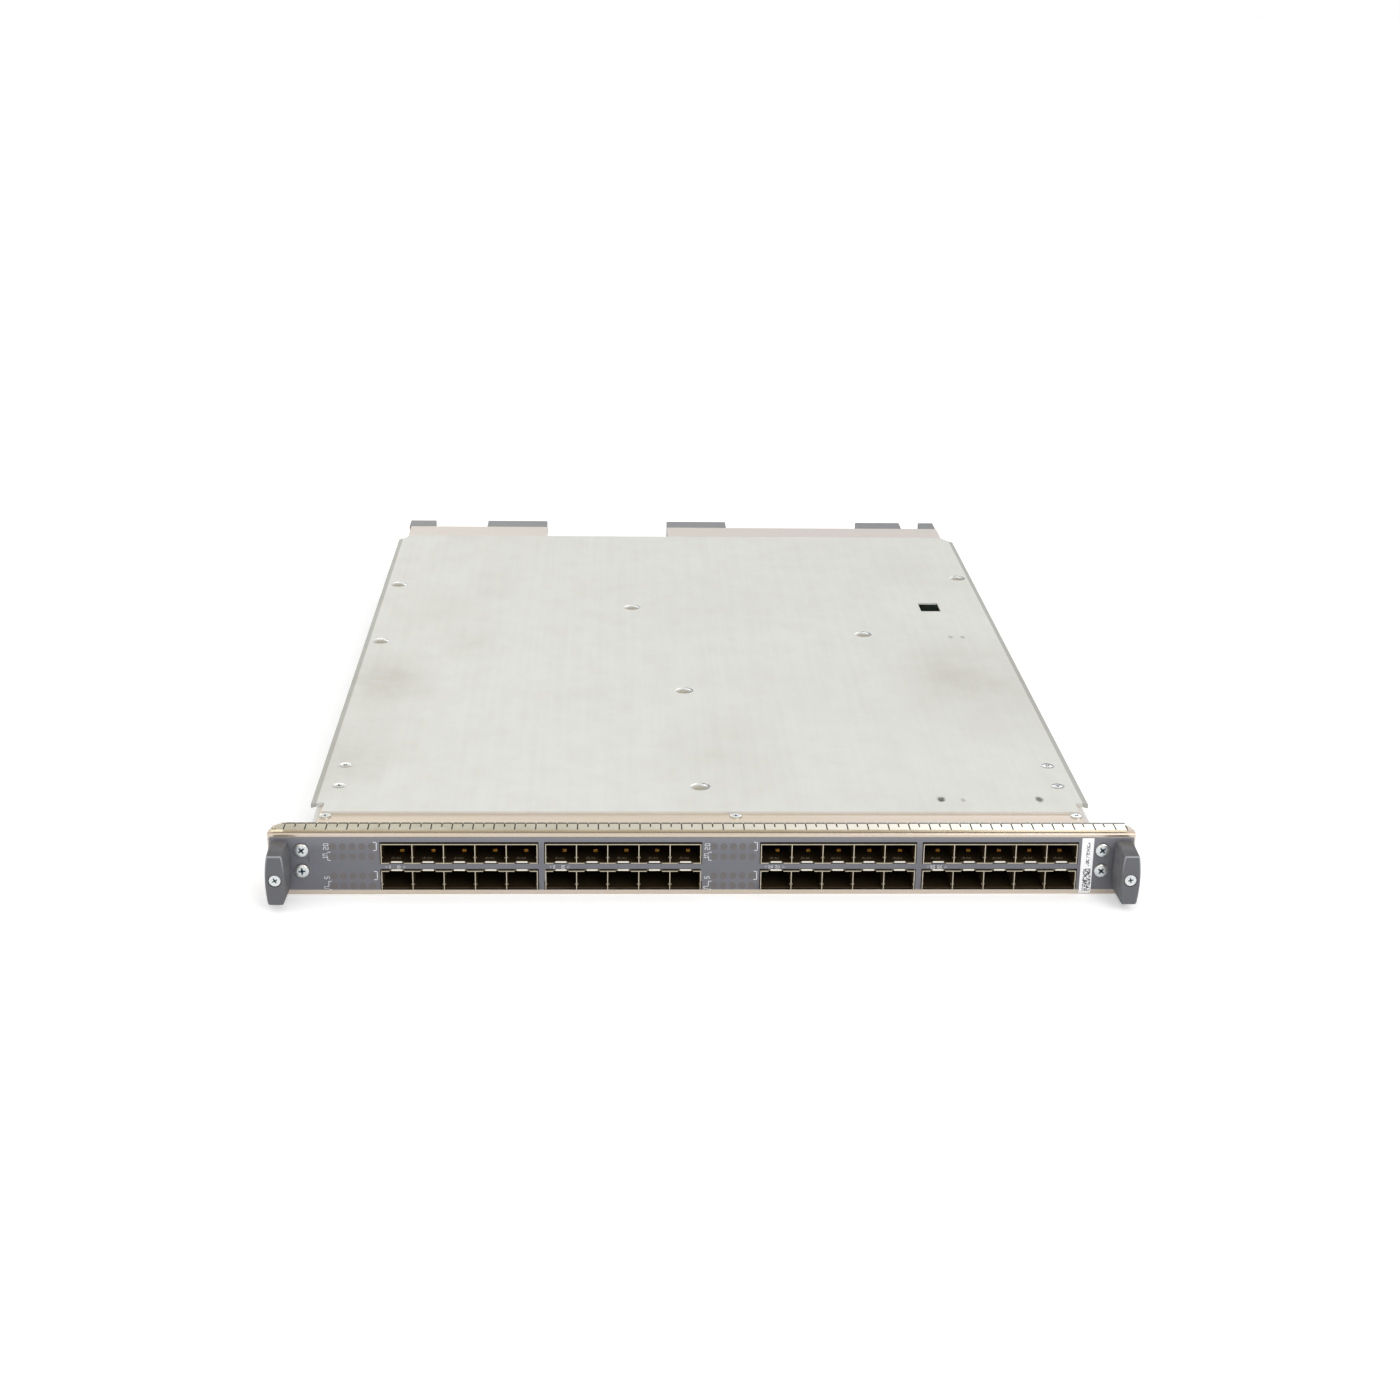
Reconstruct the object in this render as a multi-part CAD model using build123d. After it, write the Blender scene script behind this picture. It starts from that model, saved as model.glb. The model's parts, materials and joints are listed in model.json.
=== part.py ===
from build123d import *
import os

# Switch line card, lying flat with its carrier pan on top. Millimetres, +Z up.
# X runs across the front panel, Y runs from the front panel to the rear connectors.
# The origin is the middle of the whole card, on the surface it rests on.
# Below, y = 0 is the face of the front panel; save() moves it to its place.

# Port field
port_pitch = 14.25
ports_per_cage = 5
cage_gap = 3.5
bank_gap = 27.35
left_margin = 31.7
right_margin = 7.3
port_lift = 2.5
cage_height = 9.7
cage_stand = 0.6
cage_wall = 0.4
cage_depth = 48.7
cage_proud = 0.3
latch_width = 5.0
latch_height = 0.8
latch_lift = 0.5
latch_depth = 1.2
latch_notch = 7.0
lower_cover_setback = 2.5
cage_foot = 1.0
cage_foot_inset = 2.0
cage_foot_front = 8.0
connector_block_width = 11.2
connector_block_depth = 9.2
connector_block_height = 6.4
module_slot_low = 2.8
module_slot_high = 4.4
module_slot_depth = 5.0
connector_gap = 0.3

# Front panel
panel_headroom = 5.0
panel_sheet = 1.2
panel_bend = 0.9
lower_bend = 0.6
ear_width = 19.3
lower_lip = 12.0
flange_lead = 12.6
flange_depth = 33.6
flange_inset = 1.4
overlay_sheet = 0.8
overlay_lift = 2.0
overlay_drop = 2.1
overlay_inset = 0.8
cutout_margin = 0.45
cutout_above = 0.9
cutout_below = 0.2

# Carrier pan and side rails
pan_sheet = 1.0
pan_setback = 23.3
lip_setback = 33.8
lip_width = 2.85
lip_drop = 0.7
lip_hem = 1.0
pan_nose_inset = 2.5
pan_rear_reach = 41.0
pan_corner_width = 4.2
pan_corner_length = 8.2
rail_sheet = 1.0
rail_flange = 11.0
rail_window = 40.0
rail_window_gap = 10.0
rail_window_margin = 6.0
rail_step = 4.0
vent_hole_width = 11.9
vent_hole_length = 16.7
vent_hole_x = 148.2
vent_hole_y = 343.7

# Circuit board
card_depth = 539.5
board_thickness = 2.4
board_front = 3.0
board_rear_reach = 15.0
board_clearance = 0.6
board_notch_width = 9.0
board_notch_depth = 12.0

# Contact finger strip
finger_pitch = 9.525
finger_count = 40
finger_slit = 0.55
finger_half_slit = 2.6
strip_setback = 1.2
strip_depth = 8.2
strip_rise = 1.3
strip_sheet = 0.3
strip_shift = -0.9
strip_end = 5.6
strip_shoulder = 1.4
strip_rim = 0.6
strip_rear_lift = 0.4

# Ejector knobs and jackscrews
knob_inset = 5.5
axis_raise = 0.35
knob_raise = 3.4
knob_depth = 16.5
knob_height = 24.8
knob_width = 9.7
knob_end_width = 7.6
knob_draft = 1.6
knob_corner = 1.5
knob_edge = 0.6
knob_screw_head = 5.4
knob_screw_head_height = 1.6
knob_screw_sink = 0.3
knob_screw_core = 2.9
knob_screw_length = 11.0
shaft_diameter = 6.0
shaft_socket = 9.0
shaft_clearance = 0.3
jackscrew_diameter = 4.8
jackscrew_length = 22.8
jackscrew_chamfer = 1.0
collar_diameter = 10.0
collar_thickness = 2.0
shoulder_end = 15.2
bracket_sheet = 1.5
bracket_height = 22.0
bracket_depth = 13.0
bracket_inset = 0.6
bracket_screw_spacing = 10.2
bracket_screw_raise = 1.9
bracket_screw_inset = 4.1
bracket_screw_reach = 3.0

# Fasteners
pan_head_diameter = 6.1
pan_head_height = 2.1
pan_head_bevel = 0.9
bare_ring = 0.55
screw_core = 3.0
flange_screw_length = 3.6
flange_screw_head = 5.6
flange_screw_crown = 4.0
flange_screw_rise = 0.6
flange_screw_edge = 4.4
flange_screw_y = 19.8
flange_screw_shift = 3.0
nut_across = 6.4
nut_height = 2.0
rivet_head = 6.0
rivet_inset = 6.9
rivet_front = 55.0
rivet_spacing = 26.7
rivet_rise = 0.3
rivet_tail = 1.0
standoff_head = 8.4
standoff_rise = 1.2
standoff_body = 5.6
standoff_edge = 5.1
standoff_crown = 0.55
fit_gap = 0.1
fold_gap = 0.4

# Rear ledge and connectors
ledge_sheet = 1.2
ledge_fold = 4.0
ledge_overlap = 9.0
ledge_reach = 26.0
left_ledge_end = -86.0
right_ledge_start = -6.0
ledge_inset = 1.2
connector_depth = 27.0
connector_low = 4.5
connector_slot_pitch = 4.8
connector_slot_width = 2.6
connector_slot_depth = 6.0
connector_wall = 1.8
connector_chamfer = 4.0
left_guide_width = 17.0
right_guide_width = 10.0
right_guide_inset = 3.0
signal_width = 40.0
signal_1_left = -127.0
power_width = 30.0
power_left = 123.0
guide_socket_diameter = 7.0
guide_socket_depth = 14.0

# Status light guides
light_pitch = 4.35
light_size = 2.6
lights_per_row = 5
light_row_spacing = 5.0
light_depth = 16.0
light_bar = 5.0
light_carrier_depth = 7.0
light_carrier_wall = 0.9
lower_light_shift = -0.1
upper_light_shift = 1.1
status_inset = 19.2

# Bar label
label_width = 5.5
label_thickness = 0.15
label_gap = 1.9

# Heat sinks and chips on the underside
chip_height = 2.2
sink_base = 2.0
sink_fin = 1.2
sink_fin_pitch = 6.0
floor_clearance = 1.2
port_sink_size = 62.0
port_sink_y = 125.0
port_sink_pitch = 87.0
fabric_sink_1_x = -105.0
fabric_sink_1_y = 330.0
fabric_sink_2_x = 42.0
fabric_sink_2_reach = 50.0
fabric_sink_width = 76.0
fabric_sink_length = 72.0
control_sink_size = 46.0
control_sink_x = 140.0
control_sink_y = 245.0
memory_chip_height = 1.2
memory_chip_width = 10.0
memory_chip_length = 13.0
memory_chip_pitch = 17.0
memory_row_y = 185.0
memory_row_pitch = 17.0

# Power and memory parts on the pan side
brick_length = 58.0
brick_width = 36.0
brick_height = 11.0
brick_gap = 14.0
brick_rib = 4.0
brick_rib_depth = 1.5
socket_length = 70.0
socket_width = 6.0
socket_height = 6.0
module_length = 67.6
module_width = 30.0
module_sheet = 1.0
memory_module_x = -100.0
memory_module_y = 135.0
memory_module_pitch = 45.0
capacitor_length = 10.0
capacitor_width = 8.0
capacitor_height = 6.5
capacitor_chamfer = 1.0
capacitor_pitch = 14.0
inductor_size = 12.0
inductor_height = 6.0
inductor_pitch = 20.0
inductor_setback = 70.0
rear_parts_reach = 84.5

# Worked out from the sizes above
cage_width = ports_per_cage * port_pitch
field_width = 4 * cage_width + 2 * cage_gap + bank_gap
inner_half = (left_margin + field_width + right_margin) / 2
rail_half = inner_half + rail_sheet
pan_half = rail_half + lip_width
panel_half = inner_half + ear_width
field_left = -inner_half + left_margin
field_right = inner_half - right_margin
cage_starts = [
    field_left,
    field_left + cage_width + cage_gap,
    field_left + 2 * cage_width + cage_gap + bank_gap,
    field_left + 3 * cage_width + 2 * cage_gap + bank_gap,
]
bank_centre = field_left + 2 * cage_width + cage_gap + bank_gap / 2
pan_rear = card_depth - pan_rear_reach
board_half = inner_half - board_clearance
board_rear = card_depth - board_rear_reach
board_bottom = port_lift + cage_height + cage_stand
board_top = board_bottom + board_thickness
board_middle = (board_bottom + board_top) / 2
lower_row = port_lift + cage_height / 2
upper_row = board_top + cage_stand + cage_height / 2
panel_height = board_top + cage_stand + cage_height + panel_headroom
panel_middle = panel_height / 2
axis_height = panel_middle + axis_raise
pan_top = panel_height + pan_sheet
overlay_low = min(overlay_lift, port_lift - cutout_below)
overlay_high = panel_height - overlay_drop
overlay_half = panel_half - overlay_inset
flange_half = inner_half - flange_inset
knob_axis = panel_half - knob_inset
knob_front = knob_raise + knob_depth
bracket_screw_x = inner_half + bracket_screw_inset
bracket_screw_z = axis_height + bracket_screw_raise
card_middle = (card_depth - knob_front) / 2
screw_hole = screw_core + 2 * fit_gap
post_hole = standoff_body + 2 * fit_gap
shaft_hole = shaft_diameter + 2 * shaft_clearance
cage_front = -overlay_sheet - cage_proud
cage_rear = cage_front + cage_depth
bracket_screw_heights = [
    bracket_screw_z - bracket_screw_spacing / 2,
    bracket_screw_z + bracket_screw_spacing / 2,
]

# Status lights: two rows of windows beside each row of ports
light_half = (lights_per_row - 1) * light_pitch / 2 + light_size / 2 + fit_gap
light_centres = {"left": -inner_half + status_inset, "middle": bank_centre}
light_rows = [
    row + shift * light_row_spacing / 2
    for row in (lower_row + lower_light_shift, upper_row + upper_light_shift)
    for shift in (-1, 1)
]
light_bands = [
    (light_rows[k] - light_size / 2 - fit_gap, light_rows[k + 1] + light_size / 2 + fit_gap)
    for k in (0, 2)
]

# Places of the parts on the board
rear_parts_y = card_depth - rear_parts_reach
port_sinks_x = [(k - 1.5) * port_sink_pitch for k in range(4)]
sinks = {
    f"port_sink_{k + 1}": (x, port_sink_y, port_sink_size, port_sink_size)
    for k, x in enumerate(port_sinks_x)
}
sinks["fabric_sink_1"] = (
    fabric_sink_1_x, fabric_sink_1_y, fabric_sink_width, fabric_sink_length)
sinks["fabric_sink_2"] = (
    fabric_sink_2_x, rear_parts_y - fabric_sink_2_reach, fabric_sink_width, fabric_sink_length)
sinks["control_sink"] = (control_sink_x, control_sink_y, control_sink_size, control_sink_size)
memory_group_starts = [x - 1.5 * memory_chip_pitch for x in port_sinks_x]

# Places of the standoffs on the pan: two on the left edge, one on the right edge,
# four inside, each given by its distance from the front panel.
standoff_places = [
    (-inner_half + standoff_edge, 386.2),
    (-inner_half + standoff_edge, 275.2),
    (-30.8, 340.8),
    (102.7, 290.4),
    (-3.9, 192.2),
    (-0.2, 54.5),
    (inner_half - standoff_edge, 404.7),
]
rivet_x = inner_half - rivet_inset
rivet_rows = (rivet_front, rivet_front + rivet_spacing)
rivet_places = [(side * rivet_x, y) for side in (-1, 1) for y in rivet_rows]
flange_screw_places = [
    (-inner_half + flange_screw_edge, flange_screw_y),
    (bank_centre + flange_screw_shift, flange_screw_y),
    (inner_half - flange_screw_edge, flange_screw_y),
]


def save(name, shape):
    """Writes one piece to its file, in the frame of the whole card."""
    export_step(Pos(0, -card_middle, 0) * shape, f"parts/{name}.step")


def block(x0, x1, y0, y1, z0, z1):
    """A box between three pairs of planes."""
    middle = Pos((x0 + x1) / 2, (y0 + y1) / 2, (z0 + z1) / 2)
    return middle * Box(x1 - x0, y1 - y0, z1 - z0)


def section(points, x0, x1):
    """A Y-Z outline carried across the card from x0 to x1."""
    outline = make_face(Polyline([Vector(x0, y, z) for y, z in points], close=True))
    return extrude(outline, amount=x1 - x0, dir=(1, 0, 0))


def plan(points, z0, z1):
    """An X-Y outline raised from z0 to z1."""
    outline = make_face(Polyline([Vector(x, y, z0) for x, y in points], close=True))
    return extrude(outline, amount=z1 - z0, dir=(0, 0, 1))


def upright(x, y, radius, z0, z1):
    """A cylinder along Z."""
    return Pos(x, y, (z0 + z1) / 2) * Cylinder(radius, z1 - z0)


def lengthwise(x, z, radius, y0, y1):
    """A cylinder along Y."""
    return Pos(x, (y0 + y1) / 2, z) * Rot(90, 0, 0) * Cylinder(radius, y1 - y0)


def turned(points):
    """A solid of revolution about Z from (radius, height) points."""
    outline = make_face(Polyline([Vector(r, 0, h) for r, h in points], close=True))
    return revolve(outline, Axis.Z)


def prism(sides, x, y, across_corners, z0, z1):
    """A many-sided prism along Z, in which small round forms are kept plain."""
    outline = Pos(x, y, z0) * RegularPolygon(across_corners / 2, sides)
    return extrude(outline, amount=z1 - z0, dir=(0, 0, 1))


def hexagon(x, y, across_corners, z0, z1):
    """The plain form of small threads and their holes."""
    return prism(6, x, y, across_corners, z0, z1)


def lengthwise_prism(sides, x, z, across_corners, y0, y1):
    """A many-sided prism along Y."""
    return Pos(x, 0, z) * Rot(90, 0, 0) * prism(sides, 0, 0, across_corners, -y1, -y0)


def screw_head(diameter, rim, crown, height):
    """A low twelve-sided head on height 0: an upright rim, then a slope to the crown."""
    foot = Pos(0, 0, rim) * RegularPolygon(diameter / 2, 12)
    top = Pos(0, 0, height) * RegularPolygon(crown / 2, 12)
    slope = loft([foot.face(), top.face()], ruled=True)
    return slope + prism(12, 0, 0, diameter, 0, rim) if rim else slope


def pan_head_screw(core_length):
    """A pan-head screw: head upward, its seat at height 0."""
    head = screw_head(pan_head_diameter, pan_head_height - pan_head_bevel,
                      pan_head_diameter - 2 * pan_head_bevel, pan_head_height)
    return head + hexagon(0, 0, screw_core, -core_length, 0)


# ---------------------------------------------------------------- front panel

def cutout(start, row, y0, y1):
    """The opening that one cage passes through, in the panel or its overlay."""
    low = max(row - cage_height / 2 - cutout_below, overlay_low)
    high = row + cage_height / 2 + cutout_above
    return block(start - cutout_margin, start + cage_width + cutout_margin, y0, y1, low, high)


def all_cutouts(y0, y1):
    return [cutout(start, row, y0, y1) for start in cage_starts for row in (upper_row, lower_row)]


def front_panel():
    """A folded channel: wall, short lower lip and deep top flange."""
    wall = section([
        (0, 0), (lower_lip, 0), (lower_lip, panel_sheet), (panel_sheet, panel_sheet),
        (panel_sheet, panel_height - panel_sheet), (flange_lead, panel_height - panel_sheet),
        (flange_lead, panel_height), (0, panel_height),
    ], -panel_half, panel_half)
    front_edges = wall.edges().filter_by(Axis.X).group_by(Axis.Y)[0].sort_by(Axis.Z)
    wall = fillet(front_edges[0], lower_bend)
    front_edges = wall.edges().filter_by(Axis.X).group_by(Axis.Y)[0].sort_by(Axis.Z)
    wall = fillet(front_edges[-1], panel_bend)
    flange = block(-flange_half, flange_half, flange_lead, flange_depth,
                   panel_height - panel_sheet, panel_height)
    wall += flange
    wall -= all_cutouts(-1, panel_sheet + 1)
    for x, y in flange_screw_places:
        wall -= hexagon(x, y, screw_hole, panel_height - 3, panel_height + 1)
    for side in (-1, 1):
        wall -= lengthwise(side * knob_axis, axis_height, shaft_hole / 2, -1, panel_sheet + 1)
        for z in bracket_screw_heights:
            wall -= lengthwise_prism(6, side * bracket_screw_x, z, screw_hole,
                                     -1, panel_sheet + 1)
    for centre in light_centres.values():
        for low, high in light_bands:
            wall -= block(centre - light_half, centre + light_half,
                          -1, panel_sheet + 1, low, high)
    return wall


def front_overlay():
    """The grey film plate on the panel, between the two bare lips."""
    plate = block(-overlay_half, overlay_half, -overlay_sheet, 0, overlay_low, overlay_high)
    plate -= all_cutouts(-overlay_sheet - 1, 1)
    ring = pan_head_diameter + 2 * bare_ring
    for side in (-1, 1):
        plate -= lengthwise(side * knob_axis, axis_height, shaft_hole / 2, -overlay_sheet - 1, 1)
        for z in bracket_screw_heights:
            plate -= lengthwise_prism(12, side * bracket_screw_x, z, ring, -overlay_sheet - 1, 1)
    return plate


def bar_label():
    """A paper strip beside the last port, from the overlay down over the lower lip."""
    left = field_right + label_gap
    front = -overlay_sheet - label_thickness
    top = overlay_high
    foot = lower_bend + 0.1
    knee = overlay_low - overlay_sheet * 0.6
    return section([
        (front, top), (-overlay_sheet, top), (-overlay_sheet, overlay_low), (0, knee),
        (0, foot), (-label_thickness, foot), (-label_thickness, knee - 0.1),
        (front, overlay_low - 0.1),
    ], left, left + label_width)


def finger_strip():
    """Springy contact fingers: one arched band, slit across at every finger."""
    half = finger_count * finger_pitch / 2
    left = strip_shift - half - strip_end
    right = strip_shift + half + strip_end
    front = strip_setback
    rear = strip_setback + strip_depth
    seat = panel_height
    crown = seat + strip_rise
    heel = seat + strip_rear_lift
    arch = section([
        (front, seat), (front + strip_shoulder, crown), (rear - strip_shoulder, crown),
        (rear, heel), (rear - strip_sheet, heel - strip_sheet / 2),
        (rear - strip_shoulder - strip_sheet / 2, crown - strip_sheet),
        (front + strip_shoulder + strip_sheet / 2, crown - strip_sheet),
        (front + 1.5 * strip_sheet, seat),
    ], left, right)
    slits = []
    for k in range(finger_count + 1):
        x = strip_shift - half + k * finger_pitch
        slits.append(block(x - finger_slit / 2, x + finger_slit / 2,
                           front + strip_rim, rear + 1, seat - 1, crown + 1))
        if k < finger_count:
            middle = x + finger_pitch / 2
            slits.append(block(middle - finger_slit / 2, middle + finger_slit / 2,
                               rear - finger_half_slit, rear + 1, seat - 1, crown + 1))
    return arch - slits


# ---------------------------------------------------------------- carrier pan

def carrier_pan():
    """One sheet: flat top, hemmed guide lips sloping down, nose between the notches."""
    low = panel_height
    hem = low - lip_hem
    step = rail_half + fit_gap
    outline = [
        (-pan_half, hem - lip_drop), (-step, hem), (-step, low), (step, low), (step, hem),
        (pan_half, hem - lip_drop), (pan_half, pan_top - lip_drop), (rail_half, pan_top),
        (-rail_half, pan_top), (-pan_half, pan_top - lip_drop),
    ]
    face = make_face(Polyline([Vector(x, lip_setback, z) for x, z in outline], close=True))
    sheet = extrude(face, amount=pan_rear - lip_setback, dir=(0, 1, 0))
    nose_half = inner_half - pan_nose_inset
    sheet += block(-nose_half, nose_half, pan_setback, lip_setback, low, pan_top)
    for side in (-1, 1):
        corner = [
            (side * (pan_half + 1), pan_rear - pan_corner_length),
            (side * (pan_half + 1), pan_rear + 1),
            (side * (rail_half - pan_corner_width), pan_rear + 1),
            (side * (rail_half - pan_corner_width), pan_rear),
            (side * rail_half, pan_rear - pan_corner_length),
        ]
        sheet -= plan(corner, low - 2, pan_top + 1)
    sheet -= block(vent_hole_x - vent_hole_width / 2, vent_hole_x + vent_hole_width / 2,
                   vent_hole_y - vent_hole_length / 2, vent_hole_y + vent_hole_length / 2,
                   low - 1, pan_top + 1)
    for x, y in standoff_places:
        sheet -= hexagon(x, y, post_hole, low - 1, pan_top + 1)
    for x, y in rivet_places:
        sheet -= hexagon(x, y, screw_hole, low - 1, pan_top + 1)
    return sheet


def side_rail(side):
    """A folded side wall under the pan's edge, open to the air flow."""
    rear = pan_rear - pan_corner_length
    top = panel_height
    step = flange_depth + fold_gap
    nose_top = panel_height - panel_sheet
    foot_start = lower_lip + fold_gap
    foot_top = panel_sheet + fold_gap
    nose_start = bracket_depth + panel_sheet + fold_gap
    inner = side * inner_half
    web = section([
        (foot_start, 0), (rear, 0), (rear, top), (step, top), (step, nose_top),
        (nose_start, nose_top), (nose_start, foot_top), (foot_start, foot_top),
    ], min(inner, side * rail_half), max(inner, side * rail_half))
    turned_in = side * (inner_half - rail_flange)
    x0, x1 = min(inner, turned_in), max(inner, turned_in)
    rail = web + block(x0, x1, step, pan_rear - ledge_overlap - fold_gap,
                       top - rail_sheet, top)
    rail += block(x0, x1, nose_start, step + rail_step, nose_top - rail_sheet, nose_top)
    rail += block(x0, x1, foot_start, rear, 0, rail_sheet)
    pitch = rail_window + rail_window_gap
    count = int((rear - step - rail_window_gap) // pitch)
    start = step + (rear - step - count * pitch + rail_window_gap) / 2
    for k in range(count):
        y = start + k * pitch
        rail -= block(inner - 2 * rail_sheet, inner + 2 * rail_sheet, y, y + rail_window,
                      rail_window_margin, top - rail_window_margin)
    relief = standoff_body / 2 + fold_gap
    for x, y in standoff_places:
        if side * x > inner_half - rail_flange:
            x0, x1 = sorted((turned_in - side, x + side * relief))
            rail -= block(x0, x1, y - relief, y + relief, top - 2 * rail_sheet, top + 1)
    for x, y in rivet_places + flange_screw_places:
        if side * x > inner_half - rail_flange:
            rail -= hexagon(x, y, screw_hole, nose_top - 2 * rail_sheet, top + 1)
    return rail


def rear_ledge(x0, x1):
    """A flat stiffener under the rear edge of the pan, folded down at its rear."""
    top = panel_height
    front = pan_rear - ledge_overlap
    rear = pan_rear + ledge_reach
    return section([
        (front, top - ledge_sheet), (rear - ledge_sheet, top - ledge_sheet),
        (rear - ledge_sheet, top - ledge_fold), (rear, top - ledge_fold), (rear, top), (front, top),
    ], x0, x1)


# ---------------------------------------------------------------- fasteners

def standoff(x, y):
    """A pressed-in hexagonal standoff: low domed head above the pan, post to the board."""
    head = screw_head(standoff_head, 0, standoff_head * standoff_crown, standoff_rise)
    return Pos(x, y, pan_top) * (head + hexagon(0, 0, standoff_body, board_top - pan_top, 0))


def board_screw(x, y):
    """A hexagon-headed screw under the board, up to the end of its standoff."""
    head = hexagon(0, 0, pan_head_diameter, -pan_head_height, 0)
    core = hexagon(0, 0, screw_core, 0, board_thickness)
    return Pos(x, y, board_bottom) * (head + core)


def rivet(x, y):
    """A flush-headed rivet through the pan and the rail's flange."""
    head = prism(12, 0, 0, rivet_head, 0, rivet_rise)
    tail = pan_sheet + rail_sheet + rivet_tail
    return Pos(x, y, pan_top) * (head + hexagon(0, 0, screw_core, -tail, 0))


def flange_screw(x, y):
    """A low-headed screw through the flange."""
    head = screw_head(flange_screw_head, 0, flange_screw_crown, flange_screw_rise)
    core = hexagon(0, 0, screw_core, -flange_screw_length, 0)
    return Pos(x, y, panel_height) * (head + core)


def flange_nut(x, y):
    """A nut under the flange, or under the rail's nose at the sides."""
    sheet_below = rail_sheet if abs(x) > inner_half - rail_flange else 0
    top = panel_height - panel_sheet - sheet_below
    return hexagon(x, y, nut_across, top - nut_height, top) - hexagon(
        x, y, screw_hole, top - nut_height - 1, top + 1)


def bracket_screw(side, z):
    screw = pan_head_screw(panel_sheet + bracket_sheet + bracket_screw_reach)
    return Pos(side * bracket_screw_x, 0, z) * Rot(90, 0, 0) * screw


# ---------------------------------------------------------------- ejectors

def knob(side):
    """A moulded T-knob: flanks bowed out, slight draft, screw hole in its face."""
    half = knob_height / 2
    end = knob_end_width / 2
    flank = knob_width / 2
    outline = Wire([
        Line((-end, -half), (end, -half)),
        ThreePointArc((end, -half), (flank, 0), (end, half)),
        Line((end, half), (-end, half)),
        ThreePointArc((-end, half), (-flank, 0), (-end, -half)),
    ])
    face = make_face(outline)
    face = fillet(face.vertices(), knob_corner)
    body = extrude(face, amount=knob_depth, taper=knob_draft)
    body = chamfer(body.faces().sort_by(Axis.Z)[-1].edges(), knob_edge)
    body -= upright(0, 0, (shaft_diameter + fit_gap) / 2, -1, shaft_socket)
    body -= hexagon(0, 0, knob_screw_core + 4 * fit_gap, 0, knob_depth + 1)
    seat = knob_depth - knob_screw_sink - knob_screw_head_height
    body -= upright(0, 0, knob_screw_head / 2 + 3 * fit_gap, seat, knob_depth + 1)
    return Pos(side * knob_axis, -knob_raise, axis_height) * Rot(90, 0, 0) * body


def knob_screw(side):
    """A flat-head screw from the knob's face into the shaft."""
    head_low = knob_screw_length - knob_screw_head_height
    head = Rot(180, 0, 0) * screw_head(knob_screw_head, 0, 1.2 * knob_screw_core,
                                       knob_screw_head_height)
    screw = head + hexagon(0, 0, knob_screw_core, -knob_screw_length, head_low - knob_screw_length)
    face = -knob_front + knob_screw_sink
    return Pos(side * knob_axis, face, axis_height) * Rot(90, 0, 0) * screw


def jackscrew(side):
    """The shaft behind the knob, with its collar, shoulder and threaded end."""
    collar_front = panel_sheet + bracket_sheet + shaft_clearance
    collar_rear = collar_front + collar_thickness
    root = -knob_raise - shaft_socket
    tip = shoulder_end + jackscrew_length
    shaft_radius = shaft_diameter / 2
    collar_radius = collar_diameter / 2
    thread_radius = jackscrew_diameter / 2
    shaft = turned([
        (0, root), (shaft_radius, root), (shaft_radius, collar_front),
        (collar_radius, collar_front), (collar_radius, collar_rear),
        (shaft_radius, collar_rear), (shaft_radius, shoulder_end), (thread_radius, shoulder_end),
        (thread_radius, tip - jackscrew_chamfer), (thread_radius - jackscrew_chamfer, tip), (0, tip),
    ])
    screw_end = -knob_front + knob_screw_sink + knob_screw_length
    shaft -= hexagon(0, 0, knob_screw_core + fit_gap, root - 1, screw_end + fit_gap)
    return Pos(side * knob_axis, 0, axis_height) * Rot(-90, 0, 0) * shaft


def ejector_bracket(side):
    """A folded bracket behind the panel's ear that holds the shaft's collar."""
    x_inner = rail_half + fold_gap
    x_outer = panel_half - bracket_inset
    x0, x1 = sorted((side * x_inner, side * x_outer))
    low = axis_height - bracket_height / 2
    high = axis_height + bracket_height / 2
    rear = panel_sheet + bracket_depth
    front = panel_sheet
    inner = front + bracket_sheet
    strap = section([
        (front, low), (rear, low), (rear, high), (front, high),
    ], x0, x1) - section([
        (inner, low + bracket_sheet), (rear - bracket_sheet, low + bracket_sheet),
        (rear - bracket_sheet, high - bracket_sheet), (inner, high - bracket_sheet),
    ], x0 - 1, x1 + 1)
    strap -= lengthwise(side * knob_axis, axis_height, shaft_hole / 2, front - 1, rear + 1)
    for z in bracket_screw_heights:
        strap -= lengthwise_prism(6, side * bracket_screw_x, z, screw_hole, front - 1, inner + 1)
    return strap


# ---------------------------------------------------------------- port cages

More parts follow.
